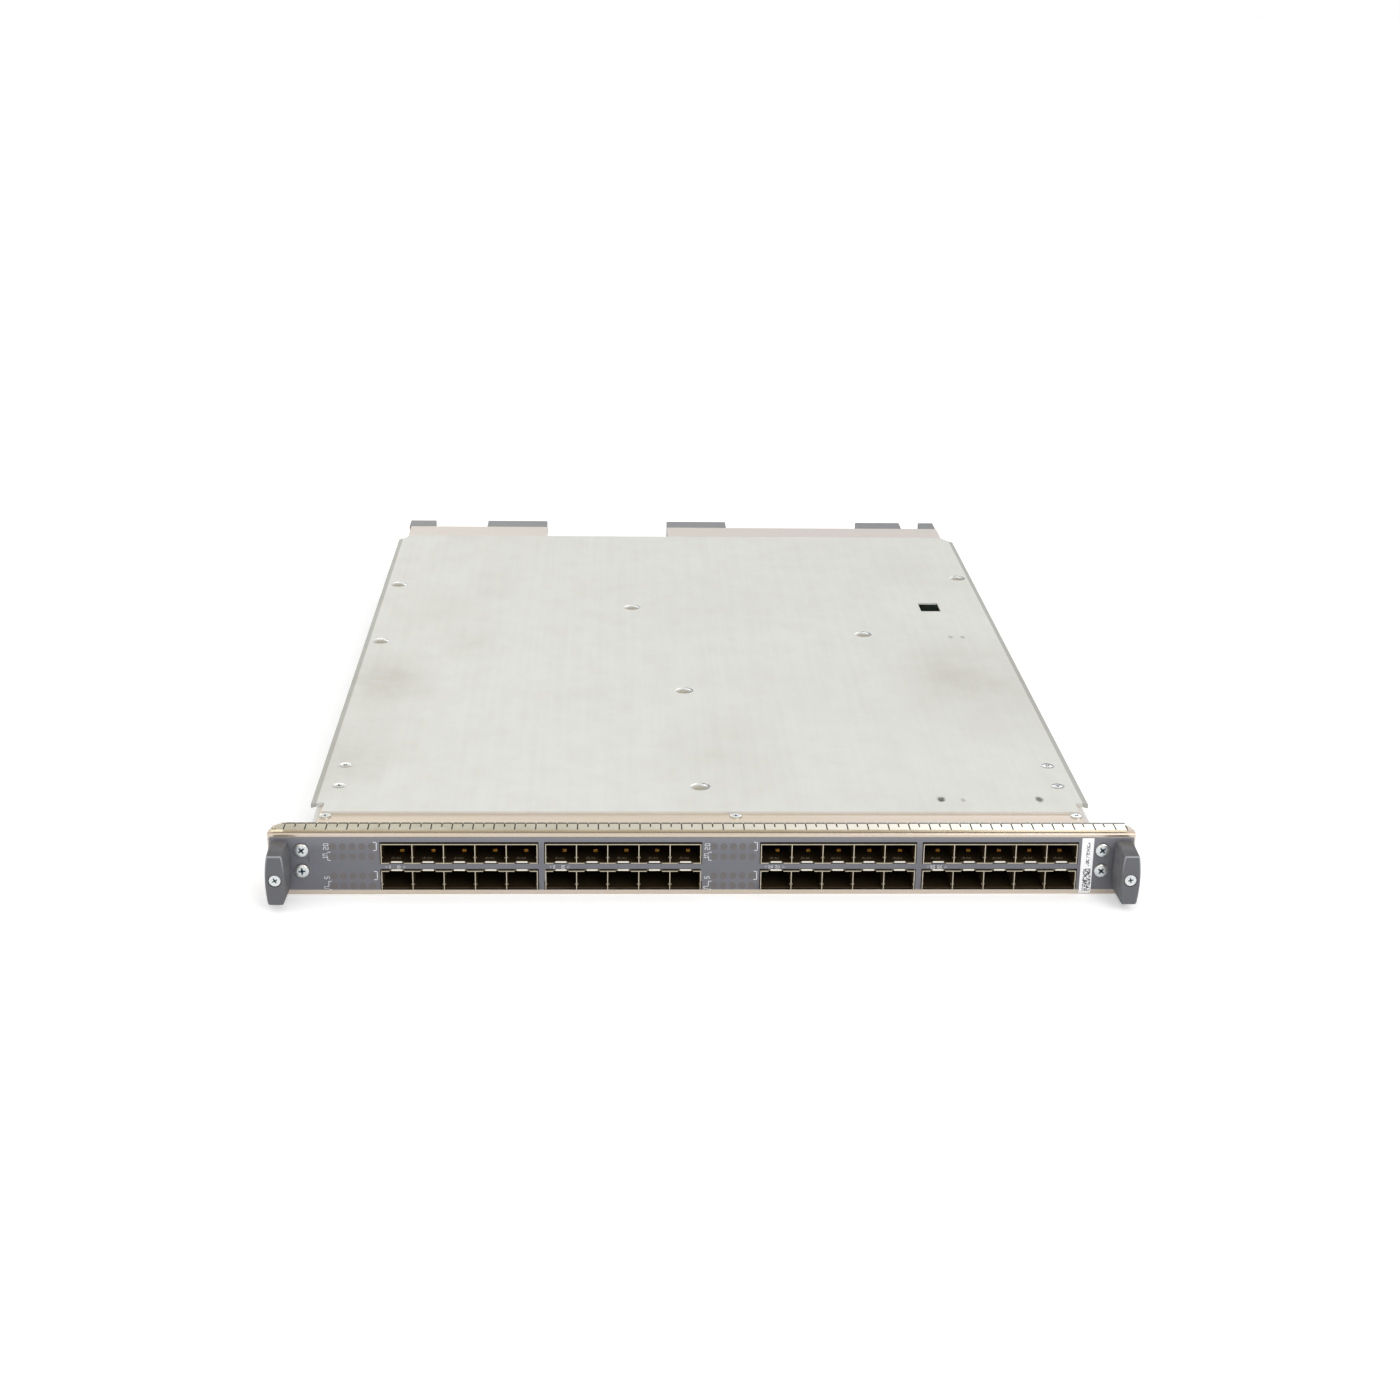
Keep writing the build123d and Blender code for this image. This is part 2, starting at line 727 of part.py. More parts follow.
def port_cage(start, upper):
    """Five ports side by side: base with latch tongues, cover, walls and back."""
    row = upper_row if upper else lower_row
    away = 1 if upper else -1
    seat = row - away * cage_height / 2
    crown = row + away * cage_height / 2
    board_face = board_top if upper else board_bottom
    front = cage_front
    rear = cage_rear
    floor_end = rear - cage_wall - connector_gap - connector_block_depth - connector_gap
    end = start + cage_width

    def level(height):
        return seat + away * height

    def slab(x0, x1, y0, y1, h0, h1):
        z0, z1 = sorted((level(h0), level(h1)))
        return block(x0, x1, y0, y1, z0, z1)

    stand = abs(seat - board_face)
    base = slab(start, end, front, floor_end, 0, cage_wall)
    latch_middle = cage_wall / 2 + away * latch_lift
    latch_low = latch_middle - latch_height / 2
    for k in range(ports_per_cage):
        middle = start + (k + 0.5) * port_pitch
        base -= slab(middle - latch_notch / 2, middle + latch_notch / 2,
                     front - 1, front + latch_depth, -1, 2 * cage_wall)
        base += slab(middle - latch_width / 2, middle + latch_width / 2, front + cage_proud,
                     front + 2 * latch_depth, latch_low, latch_low + latch_height)
    for x in (start + cage_foot_inset, end - cage_foot_inset - cage_foot):
        for y in (front + cage_foot_front, floor_end - 2 * cage_foot):
            base += slab(x, x + cage_foot, y, y + cage_foot, -stand, 0)
    cover_front = front if upper else front + lower_cover_setback
    cover = slab(start, end, cover_front, rear, cage_height - cage_wall, cage_height)
    walls = []
    for k in range(ports_per_cage + 1):
        x = start + k * port_pitch - cage_wall / 2
        x = min(max(x, start), end - cage_wall)
        walls.append(slab(x, x + cage_wall, front, rear - cage_wall,
                          cage_wall, cage_height - cage_wall))
    back = slab(start, end, rear - cage_wall, rear, cage_wall, cage_height - cage_wall)
    return Compound([base, cover, back] + walls)


def port_connector(start, index, upper):
    """The contact block at the back of one port, with a slot for the module's edge."""
    away = 1 if upper else -1
    board_face = board_top if upper else board_bottom
    rear = cage_rear - cage_wall - connector_gap
    front = rear - connector_block_depth
    slot_end = front + module_slot_depth
    middle = start + (index + 0.5) * port_pitch
    half = connector_block_width / 2
    profile = [
        (rear, 0), (rear, connector_block_height), (front, connector_block_height),
        (front, module_slot_high), (slot_end, module_slot_high), (slot_end, module_slot_low),
        (front, module_slot_low), (front, 0),
    ]
    return section([(y, board_face + away * h) for y, h in profile], middle - half, middle + half)


def light_guides(centre):
    """Clear combs that carry the status lights from the board to the overlay."""
    combs = []
    half = light_half - fit_gap
    for z in light_rows:
        points = [(centre - half, light_depth), (centre + half, light_depth)]
        for k in range(lights_per_row):
            x = centre + half - k * light_pitch
            points += [(x, 0), (x - light_size, 0)]
            if k < lights_per_row - 1:
                points += [(x - light_size, light_depth - light_bar),
                           (x - light_pitch, light_depth - light_bar)]
        combs.append(plan(points, z - light_size / 2, z + light_size / 2))
    return combs


def light_carrier(centre, upper):
    """The moulded block that holds two combs on one face of the board."""
    rows = light_rows[2:] if upper else light_rows[:2]
    reach = light_size / 2 + light_carrier_wall
    z0, z1 = (board_top, max(rows) + reach) if upper else (min(rows) - reach, board_bottom)
    half = light_half + light_carrier_wall
    front = light_depth + fit_gap
    return block(centre - half, centre + half, front, front + light_carrier_depth, z0, z1)


# ---------------------------------------------------------------- circuit board and its parts

def main_board():
    """The board between the two rows of cages, with its mounting holes."""
    nose = board_front + board_notch_depth
    nose_half = board_half - board_notch_width
    points = [
        (-nose_half, board_front), (nose_half, board_front), (nose_half, nose),
        (board_half, nose), (board_half, board_rear), (-board_half, board_rear),
        (-board_half, nose), (-nose_half, nose),
    ]
    board = plan(points, board_bottom, board_top)
    for x, y in standoff_places:
        board -= hexagon(x, y, screw_hole, board_bottom - 1, board_top + 1)
    return board


def heat_sink(x, y, width, length):
    """An extruded sink hanging below the board, fins along Y."""
    base_top = board_bottom - chip_height
    base_low = base_top - sink_base
    tip = floor_clearance
    left = x - width / 2
    count = int((width - sink_fin) // sink_fin_pitch)
    first = left + (width - sink_fin - count * sink_fin_pitch) / 2
    outline = [(left, base_top), (left, base_low)]
    for k in range(count + 1):
        fin = first + k * sink_fin_pitch
        outline += [(fin, base_low), (fin, tip), (fin + sink_fin, tip), (fin + sink_fin, base_low)]
    outline += [(left + width, base_low), (left + width, base_top)]
    if outline[1] == outline[2]:
        outline.pop(1)
    front = y - length / 2
    face = make_face(Polyline([Vector(a, front, b) for a, b in outline], close=True))
    return extrude(face, amount=length, dir=(0, 1, 0))


def chip(x, y, size):
    """A chip package between the board and its sink."""
    return block(x - size / 2, x + size / 2, y - size / 2, y + size / 2,
                 board_bottom - chip_height, board_bottom)


def memory_chip(x, y):
    """A thin memory package on the underside of the board."""
    half = memory_chip_width / 2
    return block(x - half, x + half, y - memory_chip_length / 2, y + memory_chip_length / 2,
                 board_bottom - memory_chip_height, board_bottom)


def power_brick(x, y):
    """A converter module on the pan side of the board, with its ribbed base plate."""
    half = brick_length / 2
    top = board_top + brick_height
    body = block(x - half, x + half, y - brick_width / 2, y + brick_width / 2, board_top, top)
    count = int(half // brick_rib)
    first = x - (2 * count - 1) * brick_rib / 2
    for k in range(0, 2 * count, 2):
        rib = first + k * brick_rib
        body -= block(rib, rib + brick_rib, y - brick_width, y + brick_width,
                      top - brick_rib_depth, top + 1)
    return body


def memory_socket(x, y):
    """A low socket for one memory module, with a step that the module lies on."""
    middle = y + socket_width / 2
    top = board_top + socket_height
    seat = top - 2 * module_sheet
    return section([
        (y, board_top), (y + socket_width, board_top), (y + socket_width, top),
        (middle, top), (middle, seat), (y, seat),
    ], x - socket_length / 2, x + socket_length / 2)


def memory_module(x, y):
    """A small memory board lying back from its socket, chips on top."""
    seat = board_top + socket_height - 2 * module_sheet
    rear = y + socket_width / 2
    half = module_length / 2
    face = seat + module_sheet
    board = block(x - half, x + half, rear - module_width, rear, seat, face)
    pitch = module_length / 4
    for k in range(4):
        left = x - half + (k + 0.5) * pitch - memory_chip_width / 2
        board += block(left, left + memory_chip_width, rear - module_width / 2 - memory_chip_width,
                       rear - module_width / 2, face, face + memory_chip_height)
    return board


def capacitor(x, y):
    """A moulded capacitor with its two ends bevelled."""
    body = Box(capacitor_width, capacitor_length, capacitor_height)
    body = chamfer(body.edges().filter_by(Axis.X).group_by(Axis.Z)[-1], capacitor_chamfer)
    return Pos(x, y, board_top + capacitor_height / 2) * body


def inductor(x, y):
    """A shielded power inductor with chamfered corners."""
    body = Box(inductor_size, inductor_size, inductor_height)
    body = chamfer(body.edges().filter_by(Axis.Z), inductor_size / 6)
    return Pos(x, y, board_top + inductor_height / 2) * body


def rear_connector(x0, width, socket):
    """A tall backplane connector that stands over the rear edge of the board."""
    x1 = x0 + width
    front = card_depth - connector_depth
    behind_board = board_rear + fit_gap
    behind_ledge = pan_rear + ledge_reach + connector_gap
    top = panel_height
    under = top - ledge_fold - connector_gap
    body = section([
        (front, board_top), (behind_board, board_top), (behind_board, connector_low),
        (card_depth, connector_low), (card_depth, top), (behind_ledge, top),
        (behind_ledge, under), (front + connector_chamfer, under),
        (front, under - connector_chamfer),
    ], x0, x1)
    if socket:
        hole_z = (connector_low + top) / 2
        return body - lengthwise((x0 + x1) / 2, hole_z, guide_socket_diameter / 2,
                                 card_depth - guide_socket_depth, card_depth + 1)
    room = width - 2 * connector_wall
    count = int((room - connector_slot_width) // connector_slot_pitch) + 1
    used = (count - 1) * connector_slot_pitch + connector_slot_width
    first = (x0 + x1) / 2 - used / 2
    for k in range(count):
        left = first + k * connector_slot_pitch
        body -= block(left, left + connector_slot_width, card_depth - connector_slot_depth,
                      card_depth + 1, connector_low + connector_wall, top - connector_wall)
    return body


# ---------------------------------------------------------------- build

os.makedirs("parts", exist_ok=True)

save("front_panel", front_panel())
save("front_overlay", front_overlay())
save("bar_label", bar_label())
save("finger_strip", finger_strip())
save("carrier_pan", carrier_pan())
save("main_board", main_board())
save("board_standoffs", Compound([standoff(x, y) for x, y in standoff_places]))
save("board_screws", Compound([board_screw(x, y) for x, y in standoff_places]))
save("pan_rivets", Compound([rivet(x, y) for x, y in rivet_places]))
save("flange_screws", Compound([flange_screw(x, y) for x, y in flange_screw_places]))
save("flange_nuts", Compound([flange_nut(x, y) for x, y in flange_screw_places]))
save("bracket_screws", Compound([
    bracket_screw(side, z) for side in (-1, 1) for z in bracket_screw_heights
]))

for name, side in (("left", -1), ("right", 1)):
    save(f"side_rail_{name}", side_rail(side))
    save(f"ejector_knob_{name}", knob(side))
    save(f"knob_screw_{name}", knob_screw(side))
    save(f"jackscrew_{name}", jackscrew(side))
    save(f"ejector_bracket_{name}", ejector_bracket(side))

for number, start in enumerate(cage_starts, 1):
    save(f"upper_cage_{number}", port_cage(start, True))
    save(f"lower_cage_{number}", port_cage(start, False))

for name, upper in (("upper", True), ("lower", False)):
    save(f"port_connectors_{name}", Compound([
        port_connector(start, index, upper)
        for start in cage_starts for index in range(ports_per_cage)
    ]))

for name, centre in light_centres.items():
    carriers = [light_carrier(centre, upper) for upper in (True, False)]
    save(f"light_guides_{name}", Compound(light_guides(centre) + carriers))

save("rear_ledge_left", rear_ledge(-inner_half + ledge_inset, left_ledge_end))
save("rear_ledge_right", rear_ledge(right_ledge_start, inner_half - 2 * ledge_inset))

# Rear connectors, left to right: guide, two signal, power, guide.
save("guide_connector_left", rear_connector(-inner_half, left_guide_width, True))
save("signal_connector_1", rear_connector(signal_1_left, signal_width, False))
save("signal_connector_2", rear_connector(right_ledge_start, signal_width, False))
save("power_connector", rear_connector(power_left, power_width, False))
right_guide_left = inner_half - right_guide_inset - right_guide_width
save("guide_connector_right", rear_connector(right_guide_left, right_guide_width, True))

# Underside: port, fabric and control chips under finned sinks, memory beside them.
for name, (x, y, width, length) in sinks.items():
    save(name, heat_sink(x, y, width, length))
save("sink_chips", Compound([chip(x, y, width * 0.6) for x, y, width, length in sinks.values()]))
save("memory_chips", Compound([
    memory_chip(x + k * memory_chip_pitch, memory_row_y + row * memory_row_pitch)
    for x in memory_group_starts for row in (0, 1) for k in range(4)
]))

# Pan side: power, memory and filter parts.
save("power_brick_1", power_brick(power_left, rear_parts_y))
save("power_brick_2", power_brick(power_left - brick_length - brick_gap, rear_parts_y))
for number in (1, 2):
    y = memory_module_y + (number - 1) * memory_module_pitch
    save(f"memory_socket_{number}", memory_socket(memory_module_x, y))
    save(f"memory_module_{number}", memory_module(memory_module_x, y))
save("filter_capacitors", Compound([
    capacitor(signal_1_left + k * capacitor_pitch, rear_parts_y) for k in range(4)
]))
save("power_inductors", Compound([
    inductor(power_left - k * inductor_pitch, rear_parts_y - inductor_setback) for k in range(5)
]))
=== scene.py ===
import json
import math

import bmesh
import bpy
from mathutils import Matrix, Vector


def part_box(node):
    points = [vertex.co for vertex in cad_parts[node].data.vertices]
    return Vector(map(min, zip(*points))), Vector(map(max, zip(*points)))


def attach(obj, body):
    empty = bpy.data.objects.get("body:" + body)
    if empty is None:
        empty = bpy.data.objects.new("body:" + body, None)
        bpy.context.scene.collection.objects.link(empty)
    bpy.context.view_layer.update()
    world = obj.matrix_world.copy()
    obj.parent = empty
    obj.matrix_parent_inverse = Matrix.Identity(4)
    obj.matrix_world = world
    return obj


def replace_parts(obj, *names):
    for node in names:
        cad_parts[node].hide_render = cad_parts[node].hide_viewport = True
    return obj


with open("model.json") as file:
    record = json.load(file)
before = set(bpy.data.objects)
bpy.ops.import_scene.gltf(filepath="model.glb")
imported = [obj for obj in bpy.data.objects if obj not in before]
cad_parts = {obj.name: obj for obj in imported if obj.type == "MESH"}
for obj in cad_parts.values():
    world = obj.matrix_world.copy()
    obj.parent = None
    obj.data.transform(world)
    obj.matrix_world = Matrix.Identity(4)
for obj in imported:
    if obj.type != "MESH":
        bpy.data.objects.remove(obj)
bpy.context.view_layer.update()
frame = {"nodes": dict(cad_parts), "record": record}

mm = 0.001
nodes = frame["nodes"]


# helpers for meshes

def boxOf(node):
    low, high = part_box(node)
    return Vector(low), Vector(high)


def moved(x, y, z):
    return Matrix.Translation((x, y, z))


def spun(degrees, axis="Z"):
    return Matrix.Rotation(math.radians(degrees), 4, axis)


def meshFrom(name, bm):
    # the bmesh turned into mesh data, and freed
    mesh = bpy.data.meshes.new(name)
    bm.to_mesh(mesh)
    bm.free()
    return mesh


def shown(name, data):
    item = bpy.data.objects.new(name, data)
    bpy.context.scene.collection.objects.link(item)
    return item


def newPiece(name, bm, body, material, smoothAngle=30):
    # a finished bmesh becomes a piece that rides on its body
    mesh = meshFrom(name, bm)
    mesh.shade_smooth()
    mesh.set_sharp_from_angle(angle=math.radians(smoothAngle))
    mesh.materials.append(material)
    piece = shown(name, mesh)
    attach(piece, body)
    return piece


def addMesh(bm, mesh, matrix):
    # a copy of a mesh joins bm, placed by matrix
    known = set(bm.verts)
    bm.from_mesh(mesh)
    added = [vert for vert in bm.verts if vert not in known]
    bmesh.ops.transform(bm, matrix=matrix, verts=added)


def addBlock(bm, low, high, bevel=0.0):
    # a box between two corners, its edges eased where bevel is given
    low, high = Vector(low), Vector(high)
    matrix = Matrix.Translation((low + high) / 2) @ Matrix.Diagonal((*(high - low), 1))
    made = bmesh.ops.create_cube(bm, size=1, matrix=matrix)
    if bevel:
        edges = list({edge for vert in made["verts"] for edge in vert.link_edges})
        bmesh.ops.bevel(bm, geom=edges, offset=bevel, offset_type="OFFSET", segments=2,
                        profile=0.5, affect="EDGES", material=-1)


def addPrism(bm, outline, base, tall):
    # an upright prism over a plan of (x, y) corners
    ring = [bm.verts.new((x, y, base)) for x, y in outline]
    grown = bmesh.ops.extrude_face_region(bm, geom=[bm.faces.new(ring)])["geom"]
    tops = [item for item in grown if isinstance(item, bmesh.types.BMVert)]
    bmesh.ops.translate(bm, vec=(0, 0, tall), verts=tops)
    bmesh.ops.recalc_face_normals(bm, faces=bm.faces)


def joinedTo(start):
    # every vertex that edges join to the given ones
    grown = set(start)
    stack = list(grown)
    while stack:
        for edge in stack.pop().link_edges:
            fresh = [vert for vert in edge.verts if vert not in grown]
            grown.update(fresh)
            stack += fresh
    return grown


def addSpun(bm, outline, steps, matrix=Matrix()):
    # a closed turned form about Z from (radius, height) corners
    verts = [bm.verts.new((radius, 0, height)) for radius, height in outline]
    edges = [bm.edges.new(pair) for pair in zip(verts, verts[1:])]
    made = bmesh.ops.spin(bm, geom=verts + edges, axis=(0, 0, 1), cent=(0, 0, 0),
                          angle=2 * math.pi, steps=steps, use_merge=True)
    last = [item for item in made["geom_last"] if isinstance(item, bmesh.types.BMVert)]
    grown = joinedTo(verts + last)
    bmesh.ops.remove_doubles(bm, verts=list(grown), dist=1e-7)
    grown = [vert for vert in grown if vert.is_valid]
    faces = list({face for vert in grown for face in vert.link_faces})
    bmesh.ops.recalc_face_normals(bm, faces=faces)
    bmesh.ops.transform(bm, matrix=matrix, verts=grown)


def cutMesh(mesh, cutter):
    # mesh less cutter, as a new mesh
    body, tool = shown("cutBody", mesh), shown("cutTool", cutter)
    cut = body.modifiers.new("cut", "BOOLEAN")
    cut.operation = "DIFFERENCE"
    cut.solver = "EXACT"
    cut.use_self = True
    cut.object = tool
    graph = bpy.context.evaluated_depsgraph_get()
    result = bpy.data.meshes.new_from_object(body.evaluated_get(graph))
    for item in (body, tool):
        bpy.data.objects.remove(item)
    return result


def mergedNode(node):
    # a CAD node's mesh with its split corners joined, so that round faces shade smoothly
    bm = bmesh.new()
    bm.from_mesh(nodes[node].data)
    bmesh.ops.remove_doubles(bm, verts=bm.verts, dist=1e-6)
    return bm


def islandBoxes(node):
    # the box round each separate solid of a CAD node, from left to right
    bm = mergedNode(node)
    left = set(bm.verts)
    boxes = []
    while left:
        grown = joinedTo([left.pop()])
        left -= grown
        boxes.append([Vector([pick(vert.co[axis] for vert in grown) for axis in range(3)])
                      for pick in (min, max)])
    bm.free()
    return sorted(boxes, key=lambda box: (round(box[0].x, 5), round(box[0].z, 5), box[0].y))


# helpers for materials

def colour(code):
    # sRGB hex to linear
    parts = [int(code[i:i + 2], 16) / 255 for i in (1, 3, 5)]
    return (*[part / 12.92 if part <= 0.04045 else ((part + 0.055) / 1.055) ** 2.4
              for part in parts], 1)


def addNode(tree, kind, settings={}):
    # a setting is one of the node's own, a socket to link from, or an input's value
    node = tree.nodes.new(kind)
    for key, value in settings.items():
        if isinstance(key, str) and hasattr(node, key):
            setattr(node, key, value)
        elif isinstance(value, bpy.types.NodeSocket):
            tree.links.new(value, node.inputs[key])
        else:
            node.inputs[key].default_value = value
    return node


def newMaterial(name, settings):
    # a material with one Principled shader; returns it with its tree, shader and coordinates
    material = bpy.data.materials.new(name)
    material.use_nodes = True
    tree = material.node_tree
    tree.nodes.clear()
    shader = addNode(tree, "ShaderNodeBsdfPrincipled", settings)
    addNode(tree, "ShaderNodeOutputMaterial", {"Surface": shader.outputs[0]})
    place = addNode(tree, "ShaderNodeTexCoord").outputs["Object"]
    return material, tree, shader, place


def noise(tree, place, size, detail=3.0, rough=0.55, scale=(1, 1, 1)):
    # noise whose patches are about size metres across
    vector = addNode(tree, "ShaderNodeMapping", {"Scale": scale, "Vector": place}).outputs[0]
    return addNode(tree, "ShaderNodeTexNoise",
                   {"Scale": 1 / size, "Detail": detail, "Roughness": rough,
                    "Vector": vector}).outputs["Fac"]


def ramp(tree, value, low, high, outLow=0.0, outHigh=1.0):
    return addNode(tree, "ShaderNodeMapRange",
                   {"From Min": low, "From Max": high, "To Min": outLow, "To Max": outHigh,
                    "Value": value}).outputs[0]


def calc(tree, operation, first, second):
    return addNode(tree, "ShaderNodeMath",
                   {"operation": operation, 0: first, 1: second}).outputs[0]


def product(tree, first, *others):
    for other in others:
        first = calc(tree, "MULTIPLY", first, other)
    return first


def between(tree, value, low, high, soft=0.02 * mm):
    # one inside low..high, nought outside
    return product(tree, ramp(tree, value, low - soft, low + soft),
                   ramp(tree, value, high - soft, high + soft, 1, 0))


def mixed(tree, factor, first, second):
    # a hex code stands for its colour
    first, second = (colour(item) if isinstance(item, str) else item for item in (first, second))
    return addNode(tree, "ShaderNodeMix",
                   {"data_type": "RGBA", 0: factor, 6: first, 7: second}).outputs[2]


def bump(tree, shader, height, strength, distance):
    made = addNode(tree, "ShaderNodeBump",
                   {"Strength": strength, "Distance": distance, "Height": height})
    tree.links.new(made.outputs[0], shader.inputs["Normal"])


def paint(tree, shader, base, rough=None):
    # base colour, and maybe roughness, come from sockets
    tree.links.new(base, shader.inputs["Base Color"])
    if rough:
        tree.links.new(rough, shader.inputs["Roughness"])


def axisOf(tree, place, axis):
    return addNode(tree, "ShaderNodeSeparateXYZ", {0: place}).outputs[axis]


def drifting(name, settings, size, detail, colours, rough=0.55, scale=(1, 1, 1), span=None,
             relief=None):
    # a material that wavers between two colours; span sharpens the wavering, relief is its bump
    material, tree, shader, place = newMaterial(name, settings)
    grain = noise(tree, place, size, detail, rough, scale)
    share = ramp(tree, grain, *span) if span else grain
    base = mixed(tree, share, *colours)
    paint(tree, shader, base)
    if relief:
        bump(tree, shader, grain, *relief)
    return material


# sheet metals

panSmudges = [    # mm across and along the pan, width in mm, strength
    (113.7, -221.2, 3.2, 0.9),
    (160.5, -221.2, 3.2, 0.8),
    (124.0, -222.2, 2.2, 0.35),
    (153, 26, 2.4, 0.35),
    (160, 26, 2.4, 0.35),
]
panStains = [    # brownish handling stains, given the same way
    (-163, -52, 37, 0.38),
    (-171, -146, 42, 0.23),
    (-126, 14, 22, 0.20),
    (-115, 132, 27, 0.14),
    (160, -61, 60, 0.31),
    (142, -29, 32, 0.18),
    (146, 163, 37, 0.13),
    (11, -168, 50, 0.14),
    (-179, -184, 32, 0.18),
    (-145, 74, 37, 0.11),
]


def smudge(tree, place, x, y, width, strength, fade=0.2):
    # a rub mark on the pan, ragged at its edge
    width *= mm
    start = 0.22    # how much of the ragged noise stays clear of the mark
    ragged = noise(tree, place, width * 0.7, 6, 0.7)
    offset = addNode(tree, "ShaderNodeVectorMath",
                     {"operation": "SUBTRACT", 0: place, 1: (x * mm, y * mm, 0)}).outputs[0]
    flat = addNode(tree, "ShaderNodeVectorMath",
                   {"operation": "MULTIPLY", 0: offset, 1: (1, 0.55, 0)}).outputs[0]
    away = addNode(tree, "ShaderNodeVectorMath", {"operation": "LENGTH", 0: flat})
    near = ramp(tree, away.outputs["Value"], width * 0.2, width, 1, 0)
    return ramp(tree, product(tree, near, ragged), start - fade / 5, start + fade, 0, strength)


def galvanisedSteel():
    # hot-dipped zinc on rolled steel: pale, even, soft sheen, faint mottling, handling smudges
    finish = {"zinc": "#dcddd9", "warm": "#d2d0c8", "cool": "#d9dad5", "dark": "#6c6f68",
              "lipShade": "#8d8f86", "smudge": "#3a3b37", "stain": "#8f8266", "lip": 2.75 * mm}
    material, tree, shader, place = newMaterial("galvanisedSteel", {"Metallic": 0.15})
    patches = ramp(tree, noise(tree, place, 90 * mm, 4), 0.38, 0.68)
    cloud = ramp(tree, noise(tree, place, 12 * mm, 5, 0.6, (1, 0.7, 1)), 0.42, 0.75)
    rolled = noise(tree, place, 3 * mm, 2, 0.5, (1, 0.02, 1))    # rolling lines run front to rear
    base = mixed(tree, patches, finish["zinc"], finish["cool"])
    base = mixed(tree, product(tree, cloud, 0.35), base, finish["warm"])
    base = mixed(tree, ramp(tree, rolled, 0.35, 0.75, 0.0, 0.04), base, finish["dark"])
    # the guide lips are painted darker, as shade of their downward bend
    edge = boxOf("carrier_pan")[1].x - finish["lip"]
    aside = addNode(tree, "ShaderNodeMath", {"operation": "ABSOLUTE", 0: axisOf(tree, place, 0)})
    lips = ramp(tree, aside.outputs[0], edge, edge + 0.3 * mm, 0, 0.55)
    base = mixed(tree, lips, base, finish["lipShade"])
    for mark in panSmudges:
        base = mixed(tree, smudge(tree, place, *mark), base, finish["smudge"])
    for mark in panStains:
        base = mixed(tree, smudge(tree, place, *mark, 0.75), base, finish["stain"])
    paint(tree, shader, base, ramp(tree, cloud, 0, 1, 0.52, 0.62))
    bump(tree, shader, rolled, 0.03, 0.05 * mm)
    return material


def nickelSheet():
    # nickel-plated cold-rolled steel: warm beige with a satin sheen
    finish = {"nickel": "#ddd1c6", "yellow": "#ddd1be", "dull": "#c6bbae", "ledge": "#e3dedb",
              "cut": "#3e382f", "leftShade": "#80776a", "polish": 0.19}
    material, tree, shader, place = newMaterial("nickelSheet", {"Metallic": 0.7})
    across, along, height = (axisOf(tree, place, axis) for axis in range(3))
    low, high = boxOf("front_panel")
    drift = ramp(tree, noise(tree, place, 60 * mm, 3), 0.35, 0.7)
    grain = noise(tree, place, 1.5 * mm, 2, 0.5, (0.03, 1, 1))
    base = mixed(tree, drift, finish["nickel"], finish["yellow"])
    base = mixed(tree, ramp(tree, grain, 0.4, 0.8, 0, 0.25), base, finish["dull"])
    # the cut edges of the port openings: bare steel, painted near-black as shade in the gaps round
    # the ports
    cut = product(tree, between(tree, along, low.y + 0.15 * mm, low.y + 1.1 * mm),
                  between(tree, height, low.z + 0.3 * mm, high.z - 1.6 * mm))
    base = mixed(tree, cut, base, finish["cut"])
    # the ledges are greyer, and rougher
    rear = boxOf("rear_ledge_left")[0].y
    away = ramp(tree, along, rear - 5 * mm, rear - 4 * mm)
    base = mixed(tree, away, base, finish["ledge"])
    # the top bend is polished by handling, which lowers its roughness, and painted shade darkens it
    # toward the left
    lip = product(tree, ramp(tree, along, low.y + 0.9 * mm, low.y + 1.1 * mm, 1, 0),
                  ramp(tree, height, high.z - 3.6 * mm, high.z - 3.4 * mm))
    leftShade = product(tree, lip, ramp(tree, across, -20 * mm, 120 * mm, 0.1, 0))
    base = mixed(tree, leftShade, base, finish["leftShade"])
    rough = ramp(tree, away, 0, 1, 0.36, 0.5)
    paint(tree, shader, base, calc(tree, "SUBTRACT", rough, product(tree, lip, finish["polish"])))
    bump(tree, shader, grain, 0.05, 0.05 * mm)
    return material


def springCopper():
    # tin-plated beryllium copper: beige-silver spring strip with bright bends
    finish = {"tin": "#bbb6a4", "pale": "#c9c5b6", "heelShade": "#38362a", "toe": "#b4ad99"}
    material, tree, shader, place = newMaterial("springCopper", {"Metallic": 0.85})
    start, end = (corner.y for corner in boxOf("finger_strip"))
    along = axisOf(tree, place, 1)
    drift = ramp(tree, noise(tree, place, 14 * mm, 3), 0.35, 0.7)
    base = mixed(tree, drift, finish["tin"], finish["pale"])
    heel = ramp(tree, along, end - 1.0 * mm, end - 0.85 * mm)
    base = mixed(tree, heel, base, finish["heelShade"])    # painted shadow along the fingers' fixed ends
    # painted shade: the fingers' front edge a little darker, over the gap beneath it
    toe = ramp(tree, along, start + 0.2 * mm, start + 0.3 * mm, 1, 0)
    base = mixed(tree, toe, base, finish["toe"])
    paint(tree, shader, base, ramp(tree, drift, 0, 1, 0.14, 0.19))
    return material


